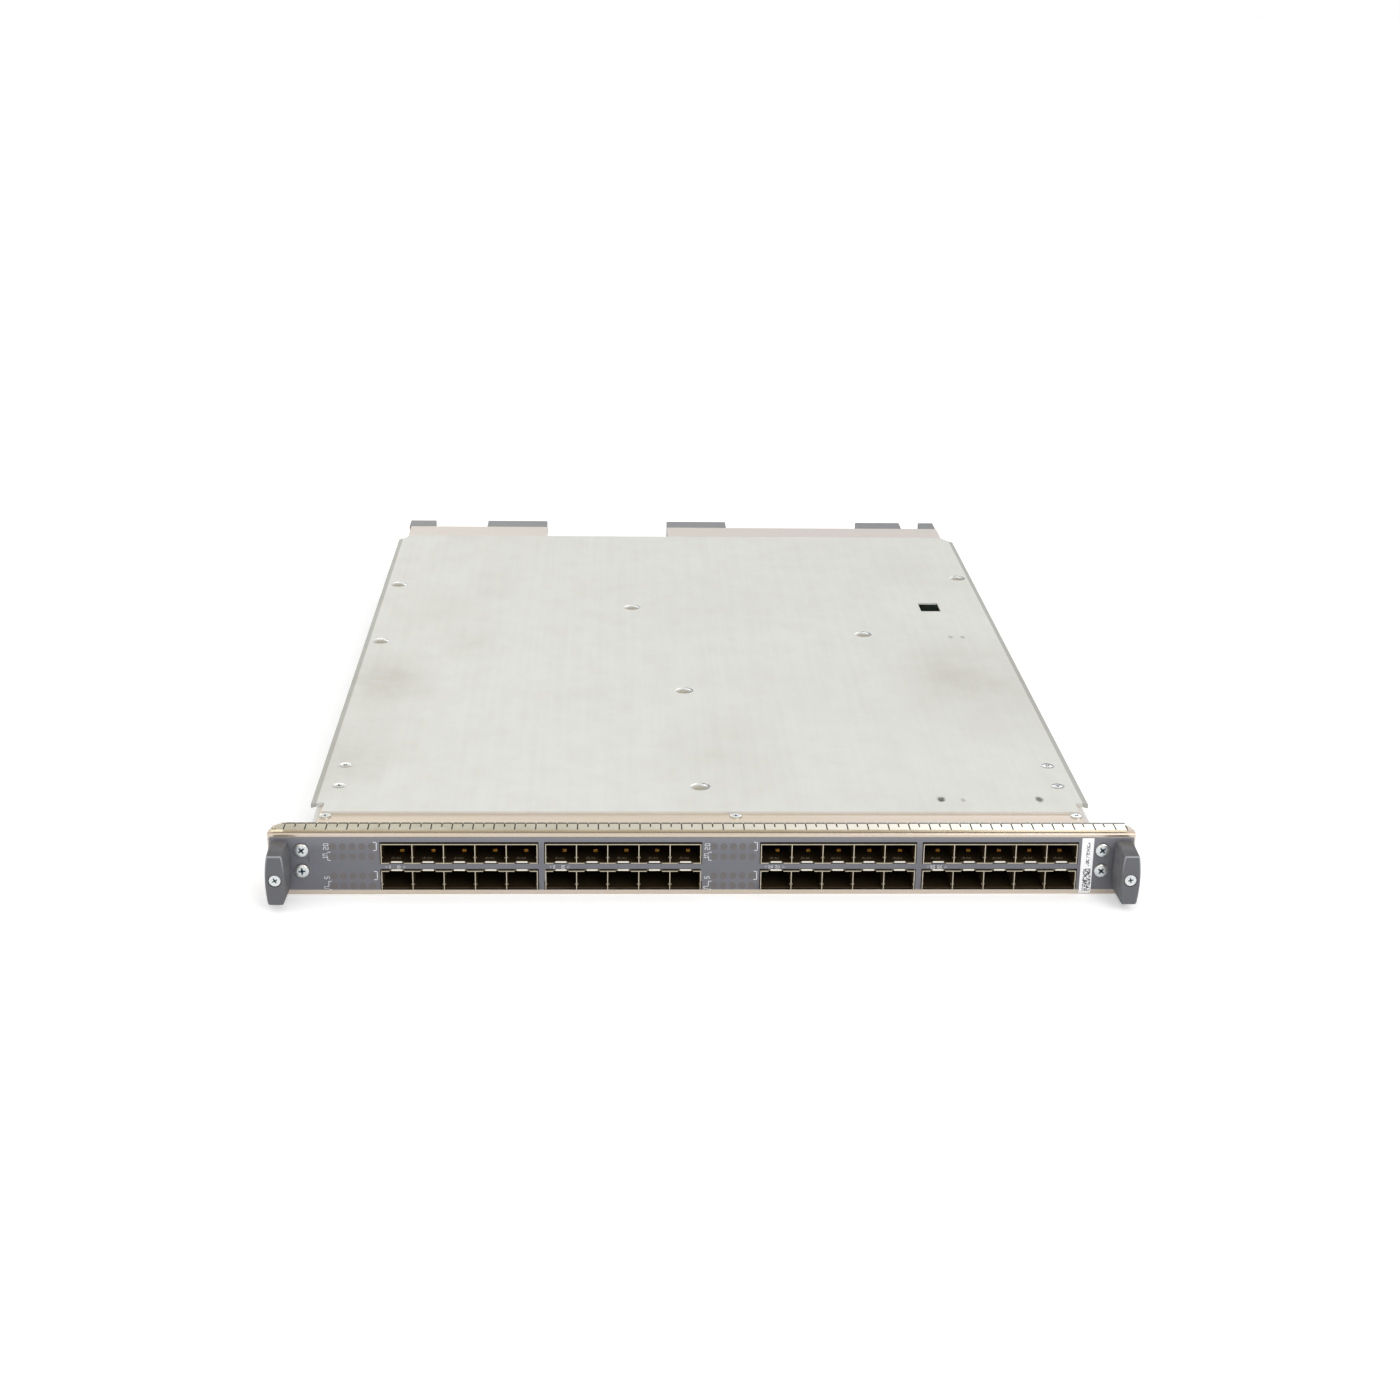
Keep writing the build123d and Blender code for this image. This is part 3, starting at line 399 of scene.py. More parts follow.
def cageTin():
    # tin-plated phosphor bronze sheet, stamped: warm grey, with painted shade inside the ports
    finish = {"tin": "#cdc3ac", "grain": "#a89d86", "shade": "#574a36", "tall": 9.7 * mm,
              "skin": 0.2 * mm, "sill": 12 * mm}
    material, tree, shader, place = newMaterial("cageTin", {"Metallic": 0.8})
    height, depth = axisOf(tree, place, 2), axisOf(tree, place, 1)
    skin, tall = finish["skin"], finish["tall"]
    front, rear = (corner.y for corner in boxOf("upper_cage_1"))
    top, bottom = boxOf("upper_cage_1")[1].z, boxOf("lower_cage_1")[0].z
    grain = noise(tree, place, 2 * mm, 3)
    base = mixed(tree, ramp(tree, grain, 0.4, 0.7, 0, 0.3), finish["tin"], finish["grain"])
    # painted shade inside the ports, on the outer top and on the lower cages' front sill
    inside = calc(tree, "MAXIMUM", between(tree, height, top - tall + skin, top + skin),
                  between(tree, height, bottom + skin, bottom + tall - skin))
    deep = product(tree, inside, between(tree, depth, front + 0.5 * mm, rear - skin, 0.4 * mm))
    sill = product(tree, between(tree, height, bottom - skin, bottom + 2 * skin),
                   between(tree, depth, front - 1 * mm, front + finish["sill"]))
    deep = calc(tree, "MAXIMUM", deep, sill)
    base = mixed(tree, deep, base, finish["shade"])
    paint(tree, shader, base, ramp(tree, deep, 0, 1, 0.33, 0.6))
    return material


# films, plastics, board and paper

def printedFilm():
    # polycarbonate film with a satin grey-blue print on its back, with painted light making it
    # paler toward its top edge
    finish = {"film": "#6b6c73", "drift": "#65666d", "pale": "#83848b", "paintedLightBand": 6 * mm}
    material, tree, shader, place = newMaterial("printedFilm", {"Roughness": 0.36, "IOR": 1.58})
    drift = ramp(tree, noise(tree, place, 50 * mm, 2), 0.3, 0.7)
    base = mixed(tree, drift, finish["film"], finish["drift"])
    top = boxOf("front_overlay")[1].z
    # painted light: paler toward the top edge
    pale = ramp(tree, axisOf(tree, place, 2), top - finish["paintedLightBand"], top, 0, 0.55)
    base = mixed(tree, pale, base, finish["pale"])
    paint(tree, shader, base)
    bump(tree, shader, noise(tree, place, 0.6 * mm, 2), 0.08, 0.02 * mm)
    return material


def mouldedGrip():
    # glass-filled nylon, fine spark-eroded texture: dark grey, low sheen, paler where rubbed
    material, tree, shader, place = newMaterial("mouldedGrip", {"Roughness": 0.5, "IOR": 1.53})
    rub = ramp(tree, noise(tree, place, 6 * mm, 4), 0.55, 0.8, 0, 0.25)
    base = mixed(tree, rub, "#5b5c60", "#6e6f73")
    paint(tree, shader, base)
    bump(tree, shader, noise(tree, place, 0.35 * mm, 3, 0.6), 0.2, 0.03 * mm)
    return material


def highlightGrip():
    # the same nylon with a painted highlight on the knobs' front bevel, most toward the top
    material, tree, shader, place = newMaterial("highlightGrip", {"Roughness": 0.35, "IOR": 1.53})
    top = boxOf("ejector_knob_left")[1].z
    pale = ramp(tree, axisOf(tree, place, 2), top - 10 * mm, top - 1 * mm)
    base = mixed(tree, pale, "#5e5f63", "#94959a")
    paint(tree, shader, base)
    return material


def connectorPlastic():
    # grey glass-filled thermoplastic of the rear connectors
    material, tree, shader, place = newMaterial("connectorPlastic", {"Roughness": 0.48})
    base = mixed(tree, noise(tree, place, 4 * mm, 3), "#85888b", "#7a7d80")
    paint(tree, shader, base)
    bump(tree, shader, noise(tree, place, 0.4 * mm, 2), 0.1, 0.02 * mm)
    return material


def solderResist():
    # glossy green resist over copper tracks on glass-epoxy board
    finish = {"resist": "#0f4a2c", "track": "#1d6b41", "pad": "#b7a36a", "pitch": 4 * mm,
              "via": 3 * mm}
    material, tree, shader, place = newMaterial("solderResist", {"Roughness": 0.3,
                                                                 "Coat Weight": 0.3})
    tracks = addNode(tree, "ShaderNodeTexBrick",
                     {"Scale": 1 / finish["pitch"], "Color1": (1, 1, 1, 1),
                      "Color2": (0.9, 0.9, 0.9, 1), "Mortar": (0, 0, 0, 1), "Mortar Size": 0.12,
                      "Brick Width": 1.7, "Row Height": 0.35, "Vector": place}).outputs["Fac"]
    vias = addNode(tree, "ShaderNodeTexVoronoi",
                   {"Scale": 1 / finish["via"], "Randomness": 0.55, "Vector": place})
    region = ramp(tree, noise(tree, place, 25 * mm, 2), 0.5, 0.56)
    base = mixed(tree, tracks, finish["track"], finish["resist"])
    base = mixed(tree, region, base, finish["resist"])
    dots = ramp(tree, vias.outputs["Distance"], 0.09, 0.12, 1, 0)
    base = mixed(tree, product(tree, dots, 0.8), base, finish["pad"])
    paint(tree, shader, base)
    bump(tree, shader, tracks, 0.15, 0.03 * mm)
    return material


def labelPaper():
    # coated white paper with a generic row of printed bars and a dense bar field below
    finish = {"paper": "#fafafc", "ink": "#4c4d54", "fieldCell": (0.48 * mm, 1, 0.3 * mm),
              "lineCell": (0.32 * mm, 1, 0.5 * mm)}
    material, tree, shader, place = newMaterial("labelPaper", {"Roughness": 0.55})
    low, high = boxOf("bar_label")
    height, across = axisOf(tree, place, 2), axisOf(tree, place, 0)

    def bars(cell, cut):
        # cells that are inked or bare by chance
        cells = addNode(tree, "ShaderNodeVectorMath", {"operation": "SNAP", 0: place, 1: cell})
        field = addNode(tree, "ShaderNodeTexWhiteNoise",
                        {"noise_dimensions": "3D", "Vector": cells.outputs[0]})
        return ramp(tree, field.outputs["Value"], cut, cut + 0.04)

    def band(value, rise, fall):
        return product(tree, ramp(tree, value, *rise), ramp(tree, value, *fall))

    field = product(tree, bars(finish["fieldCell"], 0.46),
                    band(height, (low.z + 1.3 * mm, low.z + 1.4 * mm),
                         (low.z + 12.6 * mm, low.z + 12.4 * mm)),
                    band(across, (low.x + 1.3 * mm, low.x + 1.32 * mm),
                         (high.x - 0.5 * mm, high.x - 0.52 * mm)))
    line = product(tree, bars(finish["lineCell"], 0.5),
                   band(height, (low.z + 13.6 * mm, low.z + 13.8 * mm),
                        (high.z - 2.2 * mm, high.z - 2.3 * mm)),
                   band(across, (low.x + 2.3 * mm, low.x + 2.32 * mm),
                        (low.x + 3.9 * mm, low.x + 3.88 * mm)))
    base = mixed(tree, calc(tree, "MAXIMUM", field, line), finish["paper"], finish["ink"])
    paint(tree, shader, base)
    return material


# camera and light

cameraPlace = {"location": (-41.76, -1203.2, 433.95), "down": 19.742, "right": 2.343,
               "roll": 0.938, "lens": 57.75}
studio = {"white": (1, 1, 1, 1), "floor": "#f4f4f4", "floorSize": 8, "floorGlow": 0.26,
          "horizon": "#f9f8f3", "overhead": "#b5a892", "rightSide": "#70726f",
          "overFront": "#f0e2d3", "lamp": (2.6, 2.55, 2.3, 1), "flag": (0.1, 0.1, 0.1, 1),
          "window": (2.7, 2.7, 2.916, 1), "boxPlace": (0.9, -1.7, 1.2), "boxAim": (0, -0.1, 0),
          "boxSize": (1.2, 0.9), "boxWatts": 11}


def addCamera():
    yaw, down, roll = (math.radians(angle) for angle in
                       (-cameraPlace["right"], cameraPlace["down"], cameraPlace["roll"]))
    level = Vector((math.cos(yaw), math.sin(yaw), 0))
    ahead = Vector((-math.sin(yaw), math.cos(yaw), 0))
    zenith = Vector((0, 0, 1))
    forward = ahead * math.cos(down) - zenith * math.sin(down)
    upward = ahead * math.sin(down) + zenith * math.cos(down)
    side = level * math.cos(roll) + upward * math.sin(roll)
    top = upward * math.cos(roll) - level * math.sin(roll)
    data = bpy.data.cameras.new("camera")
    data.lens = cameraPlace["lens"]
    data.sensor_width = 36
    data.clip_start = 0.05
    camera = shown("camera", data)
    turn = Matrix((side, top, -forward)).transposed().to_4x4()
    camera.matrix_world = Matrix.Translation(Vector(cameraPlace["location"]) * mm) @ turn
    bpy.context.scene.camera = camera


def rayKinds(tree, names):
    path = addNode(tree, "ShaderNodeLightPath")
    seen = path.outputs[names[0]]
    for name in names[1:]:
        seen = calc(tree, "MAXIMUM", seen, path.outputs[name])
    return seen


def tentColour(tree):
    # the tent in reflections: pale round the horizon, beige overhead, dim at the right, a low
    # lamp left of the middle, and behind the card at the right a dark flag and a soft window
    toward = addNode(tree, "ShaderNodeTexCoord").outputs["Generated"]
    across, level, up = (axisOf(tree, toward, axis) for axis in range(3))
    behind = ramp(tree, level, 0.4, 0.7)
    tent = mixed(tree, ramp(tree, up, 0.28, 0.85), studio["horizon"], studio["overhead"])
    tent = mixed(tree, ramp(tree, across, 0.2, 0.55, 0, 0.8), tent, studio["rightSide"])
    tent = mixed(tree, ramp(tree, level, -0.3, 0.1, 1, 0), tent, studio["overFront"])
    lamp = product(tree, between(tree, across, -0.2, -0.06, 0.03),
                   between(tree, up, 0.08, 0.31, 0.02))
    tent = mixed(tree, lamp, tent, studio["lamp"])
    flag = product(tree, between(tree, across, 0.07, 0.45, 0.04),
                   between(tree, up, -0.5, 0.3, 0.02), behind)
    tent = mixed(tree, flag, tent, studio["flag"])
    window = product(tree, calc(tree, "POWER", ramp(tree, across, -0.12, 0.17), 2.4),
                     between(tree, up, 0.33, 0.47, 0.03), ramp(tree, across, 0.27, 0.32, 1, 0),
                     behind)
    return mixed(tree, window, tent, studio["window"])


def addStudio():
    world = bpy.data.worlds.new("studio")
    bpy.context.scene.world = world
    world.use_nodes = True
    tree = world.node_tree
    tree.nodes.clear()
    # even white light; only reflections see the tent
    soft = mixed(tree, rayKinds(tree, ["Is Glossy Ray"]), studio["white"], tentColour(tree))
    direct = rayKinds(tree, ["Is Camera Ray", "Is Transmission Ray"])
    soft = mixed(tree, direct, soft, studio["white"])
    back = addNode(tree, "ShaderNodeBackground", {"Strength": 1.0, "Color": soft})
    addNode(tree, "ShaderNodeOutputWorld", {"Surface": back.outputs[0]})

    bm = bmesh.new()
    bmesh.ops.create_grid(bm, x_segments=1, y_segments=1, size=studio["floorSize"])
    floor = shown("floor", meshFrom("floor", bm))
    material, tree, shader = newMaterial("floorPaper", {
        "Roughness": 0.9, "Base Color": colour(studio["floor"]),
        "Emission Color": studio["white"]})[:3]
    direct = rayKinds(tree, ["Is Camera Ray", "Is Transmission Ray"])
    tree.links.new(product(tree, direct, studio["floorGlow"]), shader.inputs["Emission Strength"])
    floor.data.materials.append(material)

    data = bpy.data.lights.new("frontBox", "AREA")
    data.shape = "RECTANGLE"
    data.size, data.size_y = studio["boxSize"]
    data.energy = studio["boxWatts"]
    lamp = shown("frontBox", data)
    aim = Vector(studio["boxAim"]) - Vector(studio["boxPlace"])
    turn = aim.to_track_quat("-Z", "Y").to_matrix().to_4x4()
    lamp.matrix_world = Matrix.Translation(studio["boxPlace"]) @ turn


addCamera()
addStudio()
print("camera and studio ready")

galvanised = galvanisedSteel()
nickel = nickelSheet()
fingerMetal = springCopper()
cageMetal = cageTin()
# bright tin on the little springs at a port's mouth
springTin = drifting("springTin", {"Metallic": 0.8, "Roughness": 0.3}, 0.7 * mm, 3,
                     ("#d9cfba", "#8f836c"))
# nearly white tin on the latch tabs
tabMetal = drifting("paleTin", {"Metallic": 0.6, "Roughness": 0.35}, 0.8 * mm, 3,
                    ("#fbf8f0", "#e9e2d2"))
# clear-passivated zinc plate: bright silver, slightly blue
zinc = drifting("zincPlate", {"Metallic": 0.9, "Roughness": 0.25}, 0.8 * mm, 3,
                ("#e9eceb", "#d3d9db"), span=(0.35, 0.7), relief=(0.08, 0.05 * mm))
# painted shade in the screws' recesses: dark blue-grey
recessShade = drifting("recessShadeMetal", {"Metallic": 0.4, "Roughness": 0.5}, 0.4 * mm, 2,
                       ("#5f717d", "#3c4a55"))
# thin gold over nickel on contact springs
gold = drifting("goldPlate", {"Metallic": 1.0, "Roughness": 0.3}, 0.6 * mm, 2,
                ("#b98a3a", "#8f6624"))
# extruded aluminium, clear anodised: pale grey with drawn lines along the fins
aluminium = drifting("extrudedAluminium", {"Metallic": 0.85, "Roughness": 0.38}, 1.2 * mm, 2,
                     ("#c6c8ca", "#a7aaad"), 0.5, (1, 0.02, 1), (0.3, 0.75), (0.1, 0.05 * mm))
film = printedFilm()
grip = mouldedGrip()
# painted highlight for the knobs' front bevels
highlightRim = highlightGrip()
# black liquid crystal polymer, dull and slightly streaked by the mould
blockPlastic = drifting("contactBlockPlastic", {"Roughness": 0.55}, 3 * mm, 3,
                        ("#141210", "#1f1c18"), 0.5, (1, 0.2, 1))
rearPlastic = connectorPlastic()
board = solderResist()
# black transfer-moulded epoxy with a matt top
package = drifting("epoxyPackage", {"Roughness": 0.6}, 0.5 * mm, 3, ("#1b1b1d", "#262629"),
                   relief=(0.15, 0.02 * mm))
# clear moulded acrylic, faintly milky
acrylic = drifting("lightPipeAcrylic", {"Roughness": 0.12, "IOR": 1.49,
                                        "Transmission Weight": 0.6},
                   3 * mm, 2, ("#e4e6e2", "#d6d8d2"))
# unlit translucent window in the film: smoky grey-brown
windowFilm = drifting("lightWindowFilm", {"Roughness": 0.3, "IOR": 1.58}, 1.2 * mm, 2,
                      ("#68635f", "#5f5d5e"))
# screen-printed white ink, thin enough to let the film show a little
ink = drifting("whiteInk", {"Roughness": 0.5}, 0.5 * mm, 2, ("#e8e8ea", "#9a9ba2"),
               span=(0.4, 0.7, 0, 0.35))
paper = labelPaper()
print("materials ready")

finishOf = {"galvanised": galvanised, "nickel_sheet": nickel, "finger_metal": fingerMetal,
            "overlay_grey": film, "knob_plastic": grip, "zinc_screw": zinc, "cage_metal": cageMetal,
            "connector_black": blockPlastic, "board_green": board, "sink_aluminium": aluminium,
            "chip_black": package, "guide_clear": acrylic, "connector_grey": rearPlastic,
            "label_paper": paper}
for part in frame["record"]["subparts"]:
    node = nodes[part["node"]]
    node.data.materials.clear()
    node.data.materials.append(finishOf[part["material_slot"]])


# contact finger strip

strip = {"pitch": 9.525 * mm, "count": 40, "shift": -0.9 * mm, "slit": 0.6 * mm,
         "halfSlit": 5.2 * mm, "rim": 0.6 * mm, "sheet": 0.25 * mm, "rows": 20,
         "tab": 5.4 * mm, "taper": 0.9, "over": 0.6 * mm, "toe": 0.05, "arch": 0.6}


def fingerStrip():
    # one bent sheet, slit between the fingers and part way at the middle of each
    low, high = boxOf("finger_strip")
    first = strip["shift"] - strip["pitch"] * strip["count"] / 2
    rear = high.y + strip["over"]
    half = strip["slit"] / 2
    lines = [low.x]
    for k in range(2 * strip["count"] + 1):
        x = first + k * strip["pitch"] / 2
        lines += [x - half, x + half]
    lines.append(high.x)
    columns = len(lines) - 1
    bm = bmesh.new()
    bmesh.ops.create_grid(bm, x_segments=columns, y_segments=strip["rows"], size=1)
    for vert in bm.verts:
        x = lines[round((vert.co.x + 1) / 2 * columns)]
        along = (vert.co.y + 1) / 2
        rise = min(1, (along / strip["toe"]) ** strip["arch"])
        depth = rear - low.y - max(0, strip["tab"] - (x - low.x)) * strip["taper"]
        vert.co = (x, low.y + along * depth, low.z + rise * (high.z - low.z - strip["sheet"]))
    slits = []
    for face in bm.faces:
        middle = face.calc_center_median()
        step = (middle.x - first) / (strip["pitch"] / 2)
        onSlit = abs(step - round(step)) < 0.02 and -0.1 < step < 2 * strip["count"] + 0.1
        whole = round(step) % 2 == 0
        start = low.y + strip["rim"] if whole else rear - strip["halfSlit"]
        if onSlit and middle.y > start:
            slits.append(face)
    bmesh.ops.delete(bm, geom=slits, context="FACES")
    bmesh.ops.recalc_face_normals(bm, faces=bm.faces)
    bmesh.ops.solidify(bm, geom=bm.faces, thickness=strip["sheet"])
    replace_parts(newPiece("fingerStrip", bm, "card", fingerMetal, 50),
                "finger_strip")


def stripShadeSheets():
    # painted shade: dark sheets on the flange under the fingers, darkening the slits and the
    # fingers' front edge
    shadeSheet = {"aside": 1 * mm, "ahead": 0.25 * mm, "lip": 1 * mm, "film": 0.08 * mm,
            "start": 0.9 * mm, "tall": 0.9 * mm}
    low, high = boxOf("finger_strip")
    bm = bmesh.new()
    addBlock(bm, (low.x + shadeSheet["aside"], low.y - shadeSheet["ahead"], low.z),
             (high.x - shadeSheet["aside"], low.y + shadeSheet["lip"], low.z + shadeSheet["film"]))
    addBlock(bm, (low.x + strip["tab"], low.y + shadeSheet["start"], low.z),
             (high.x - strip["tab"], high.y, low.z + shadeSheet["tall"]))
    newPiece("stripShadeSheets", bm, "card", blockPlastic)


def stripEnds():
    # a rivet at the strip's left end, and its bent lug at the right one; lengths in mm
    ends = {"rivet": ((0, 0.5), (0.5, 0.42), (0.85, 0), (0.85, -0.2), (0, -0.2)),
            "rivetPlace": (1.3, 2.1), "lug": ((-0.6, 0), (2.9, 0), (0.9, 5.6), (-0.6, 5.6)),
            "lugBase": 0.05, "lugTall": 1.0}
    low, high = boxOf("finger_strip")
    bm = bmesh.new()
    x, y = ends["rivetPlace"]
    addSpun(bm, [(radius * mm, up * mm) for radius, up in ends["rivet"]], 24,
            moved(low.x + x * mm, low.y + y * mm, high.z))
    addPrism(bm, [(high.x + x * mm, low.y + y * mm) for x, y in ends["lug"]],
             low.z + ends["lugBase"] * mm, ends["lugTall"] * mm)
    newPiece("stripEnds", bm, "card", nickel, 35)


fingerStrip()
stripShadeSheets()
stripEnds()
print("finger strip ready")


# screws

# lengths in mm, spins in degrees, spinStep in radians from screw to screw; looks is the way
# the head faces, recess the length of the cross, depth its depth, plate how far below the top
# its dark floor of painted shade lies, cone the depth of a countersunk head
knobScrew = {"looks": "front", "head": 5.4, "cone": 1.6, "rim": ((0.97, 0), (1, -0.12)),
             "core": 2.8, "recess": 2.9, "depth": 1.1, "plate": 0.4}
screws = [
    {"name": "bracketScrews", "node": "bracket_screws", "looks": "front", "head": 6.4,
     "height": 2.1, "core": 2.9, "recess": 3.9, "depth": 1.8, "plate": 0.35,
     "spins": (4, 38, 52, 40)},
    {**knobScrew, "name": "knobScrewLeft", "node": "knob_screw_left", "body": "ejector_left",
     "spins": (30,)},
    {**knobScrew, "name": "knobScrewRight", "node": "knob_screw_right", "body": "ejector_right",
     "spins": (12,)},
    # low oval heads that hold the nose of the flange down
    {"name": "flangeScrews", "node": "flange_screws", "looks": "up", "head": 5.6,
     "height": 0.6, "core": 2.9, "recess": 3.0, "depth": 0.9, "plate": 0.3,
     "spins": (20, 0, 50)},
    {"name": "boardScrews", "node": "board_screws", "looks": "down", "head": 6.0,
     "height": 2.1, "core": 2.9, "recess": 3.2, "depth": 1.2, "spinStep": 1.1},
    # countersunk heads that join the pan to its rails, a hair proud of the sheet
    {"name": "panScrews", "node": "pan_rivets", "looks": "up", "head": 6.6, "cone": 1.4,
     "rim": ((0.9, 0), (1, -0.14), (1, -0.34)), "core": 2.9, "recess": 3.4, "depth": 1.1,
     "plate": 0.35, "spins": (24, 60, 10, 41)},
]
# a rim goes by share of the radius and height, in mm or for round heads by share of theirs
roundRim = ((0.7, 0.99), (0.9, 0.95), (0.98, 0.85), (1, 0.6), (1, 0))
cross = {"width": 0.26, "taper": 0.7, "tip": 0.35, "brim": 1.3, "plate": (0.92, 0.23),
         "sheet": 0.1 * mm}


def crossCutter(width, length, depth):
    # the cross of a Phillips recess, tapered to its bottom
    bm = bmesh.new()
    for turn in (0, 90):
        made = bmesh.ops.create_cube(bm, size=1)
        matrix = spun(turn) @ Matrix.Diagonal((length, width, depth * 2, 1))
        bmesh.ops.transform(bm, matrix=matrix, verts=made["verts"])
        for vert in made["verts"]:
            if vert.co.z < 0:
                vert.co.x *= cross["taper"]
                vert.co.y *= cross["taper"]
    bmesh.ops.create_cone(bm, cap_ends=True, segments=16, radius1=width * cross["tip"],
                          radius2=width * cross["brim"], depth=depth * 2)
    return meshFrom("cross", bm)


def placedCopies(name, node, mesh, places, body="card"):
    # a plated piece of one mesh at every place, instead of its CAD node
    bm = bmesh.new()
    for matrix in places:
        addMesh(bm, mesh, matrix)
    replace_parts(newPiece(name, bm, body, zinc, 35), node)


def screwPlace(looks, low, high, height, spin):
    # where a screw of that box sits under its head, +Z toward the head
    middle = (low + high) / 2
    if looks == "front":
        return moved(middle.x, low.y + height, middle.z) @ spun(90, "X") @ spun(spin)
    if looks == "up":
        return moved(middle.x, middle.y, high.z - height) @ spun(spin)
    return moved(middle.x, middle.y, low.z + height) @ spun(180, "X") @ spun(spin)


def addScrews(screw):
    # one turned screw with its cross recess, copied to every place of its CAD node
    boxes = islandBoxes(screw["node"])
    height, recess = screw.get("height", 0) * mm, screw["recess"] * mm
    radius, core = screw["head"] * mm / 2, screw["core"] * mm / 2
    body = screw.get("body", "card")
    spins = screw.get("spins") or [math.degrees(screw["spinStep"] * k) for k in range(len(boxes))]
    places = [screwPlace(screw["looks"], low, high, height, spin)
              for (low, high), spin in zip(boxes, spins)]
    low, high = boxes[-1]
    axis = 1 if screw["looks"] == "front" else 2
    length = high[axis] - low[axis] - height
    # from the top's centre over the rim and down the shank to the tip's centre
    rim = [(share * radius, level * (height or mm)) for share, level in screw.get("rim", roundRim)]
    outline = [(0, height), *rim, (core, -screw.get("cone", 0) * mm), (core, -length),
               (0, -length)]
    bm = bmesh.new()
    addSpun(bm, outline, 32)
    cutter = crossCutter(recess * cross["width"], recess, screw["depth"] * mm)
    cutter.transform(moved(0, 0, height))
    placedCopies(screw["name"], screw["node"], cutMesh(meshFrom("screw", bm), cutter), places, body)
    if "plate" in screw:
        # painted shade: a dark plate down in the cross recess
        seat = moved(0, 0, height - screw["plate"] * mm)
        long, wide = (recess * share for share in cross["plate"])
        shape = Matrix.Diagonal((long, wide, cross["sheet"], 1))
        bm = bmesh.new()
        for matrix in places:
            for turn in (0, 90):
                bmesh.ops.create_cube(bm, size=1, matrix=matrix @ seat @ spun(turn) @ shape)
        newPiece(screw["name"] + "Recess", bm, body, recessShade)


def boardStandoffs():
    # low domed heads pressed into the pan, on six-sided posts
    dome = {"radius": 4.9 * mm, "rise": 1.2 * mm, "rings": 12, "power": 2.1, "post": 5.6 * mm}
    boxes = islandBoxes("board_standoffs")
    shares = [k / dome["rings"] for k in range(dome["rings"] + 1)]
    outline = [(dome["radius"] * share, dome["rise"] * (1 - share ** dome["power"]))
               for share in shares]
    bm = bmesh.new()
    addSpun(bm, [*outline, (0, 0)], 40)
    low, high = boxes[-1]
    length = high.z - low.z - dome["rise"]
    bmesh.ops.create_cone(bm, cap_ends=True, segments=6, radius1=dome["post"] / 2,
                          radius2=dome["post"] / 2, depth=length,
                          matrix=moved(0, 0, -length / 2) @ spun(30))
    places = [moved((low.x + high.x) / 2, (low.y + high.y) / 2, high.z - dome["rise"])
              for low, high in boxes]
    placedCopies("boardStandoffs", "board_standoffs", meshFrom("standoff", bm), places)


def addJackscrew(side):
    # turned shaft with a collar, its end threaded; shape in mm by radius and distance
    shaft = {"shape": ((0, 0), (3, 0), (3, 15.4), (5, 15.4), (5, 17.4), (3, 17.4), (3, 27.6)),
             "pitch": 0.8 * mm, "deep": 0.45 * mm, "crest": 2.4 * mm, "tip": 1.4 * mm,
             "chamfer": 1.0 * mm, "steps": 36}
    low, high = boxOf(f"jackscrew_{side}")
    middle = (low + high) / 2
    pitch, crest = shaft["pitch"], shaft["crest"]
    root = crest - shaft["deep"]
    outline = [(radius * mm, along * mm) for radius, along in shaft["shape"]]
    start = outline[-1][1]
    end = high.y - low.y - shaft["chamfer"]
    for k in range(int((end - start) / pitch)):
        along = start + (k + 0.1) * pitch
        outline += [(root, along), (crest, along + 0.4 * pitch), (crest, along + 0.5 * pitch),
                    (root, along + 0.88 * pitch)]
    outline += [(crest, end), (shaft["tip"], high.y - low.y), (0, high.y - low.y)]
    bm = bmesh.new()
    addSpun(bm, outline, shaft["steps"], moved(middle.x, low.y, middle.z) @ spun(-90, "X"))
    piece = newPiece(f"jackscrew{side.title()}", bm, f"ejector_{side}", zinc, 35)
    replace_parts(piece, f"jackscrew_{side}")


for screw in screws:
    addScrews(screw)
boardStandoffs()
for side in ("left", "right"):
    addJackscrew(side)
print("screws ready")


# knobs, overlay, panel and printed marks

def addKnob(side):
    # a moulded knob, flat in front, with a painted highlight on the narrow bevel round the front
    knob = {"bevel": 0.62 * mm, "flat": -0.98, "slope": (-0.95, -0.3)}
    node = f"ejector_knob_{side}"
    front = boxOf(node)[0].y
    piece = newPiece(f"ejectorKnob{side.title()}", mergedNode(node), f"ejector_{side}", grip,
                     28)
    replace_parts(piece, node)
    piece.data.materials.append(highlightRim)
    for face in piece.data.polygons:
        if face.normal.y < knob["flat"]:
            face.use_smooth = False
        sloped = knob["slope"][0] < face.normal.y < knob["slope"][1]
        if sloped and face.center.y < front + knob["bevel"]:
            face.material_index = 1


def frontOverlay():
    # the printed film, open at the lower ports' openings, with a rim round each bracket screw;
    # left and right are such a rim's inner radius and its shift
    overlay = {"trim": 0.75 * mm, "spare": 1 * mm, "seat": 0.3 * mm, "rim": 0.31 * mm,
               "outer": 4.4 * mm, "left": (3.35 * mm, 0), "right": (3.5 * mm, 0.5 * mm)}
    low, high = boxOf("front_overlay")
    spare = Vector((1, 1, 1)) * overlay["spare"]
    bm = bmesh.new()
    addBlock(bm, low - spare, (*(high + spare).xy, low.z + overlay["trim"]))
    trimmed = cutMesh(meshFrom("overlay", mergedNode("front_overlay")), meshFrom("trim", bm))
    bm = bmesh.new()
    bm.from_mesh(trimmed)
    for start, end in islandBoxes("bracket_screws"):
        middle = (start + end) / 2
        inner, aside = overlay["right" if start.x > 0 else "left"]
        place = moved(middle.x + aside, low.y + overlay["seat"], middle.z)
        addSpun(bm, [(inner, 0), (inner, overlay["rim"]), (overlay["outer"], overlay["rim"]),
                     (overlay["outer"], 0)], 40, place @ spun(90, "X"))
    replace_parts(newPiece("frontOverlay", bm, "card", film), "front_overlay")


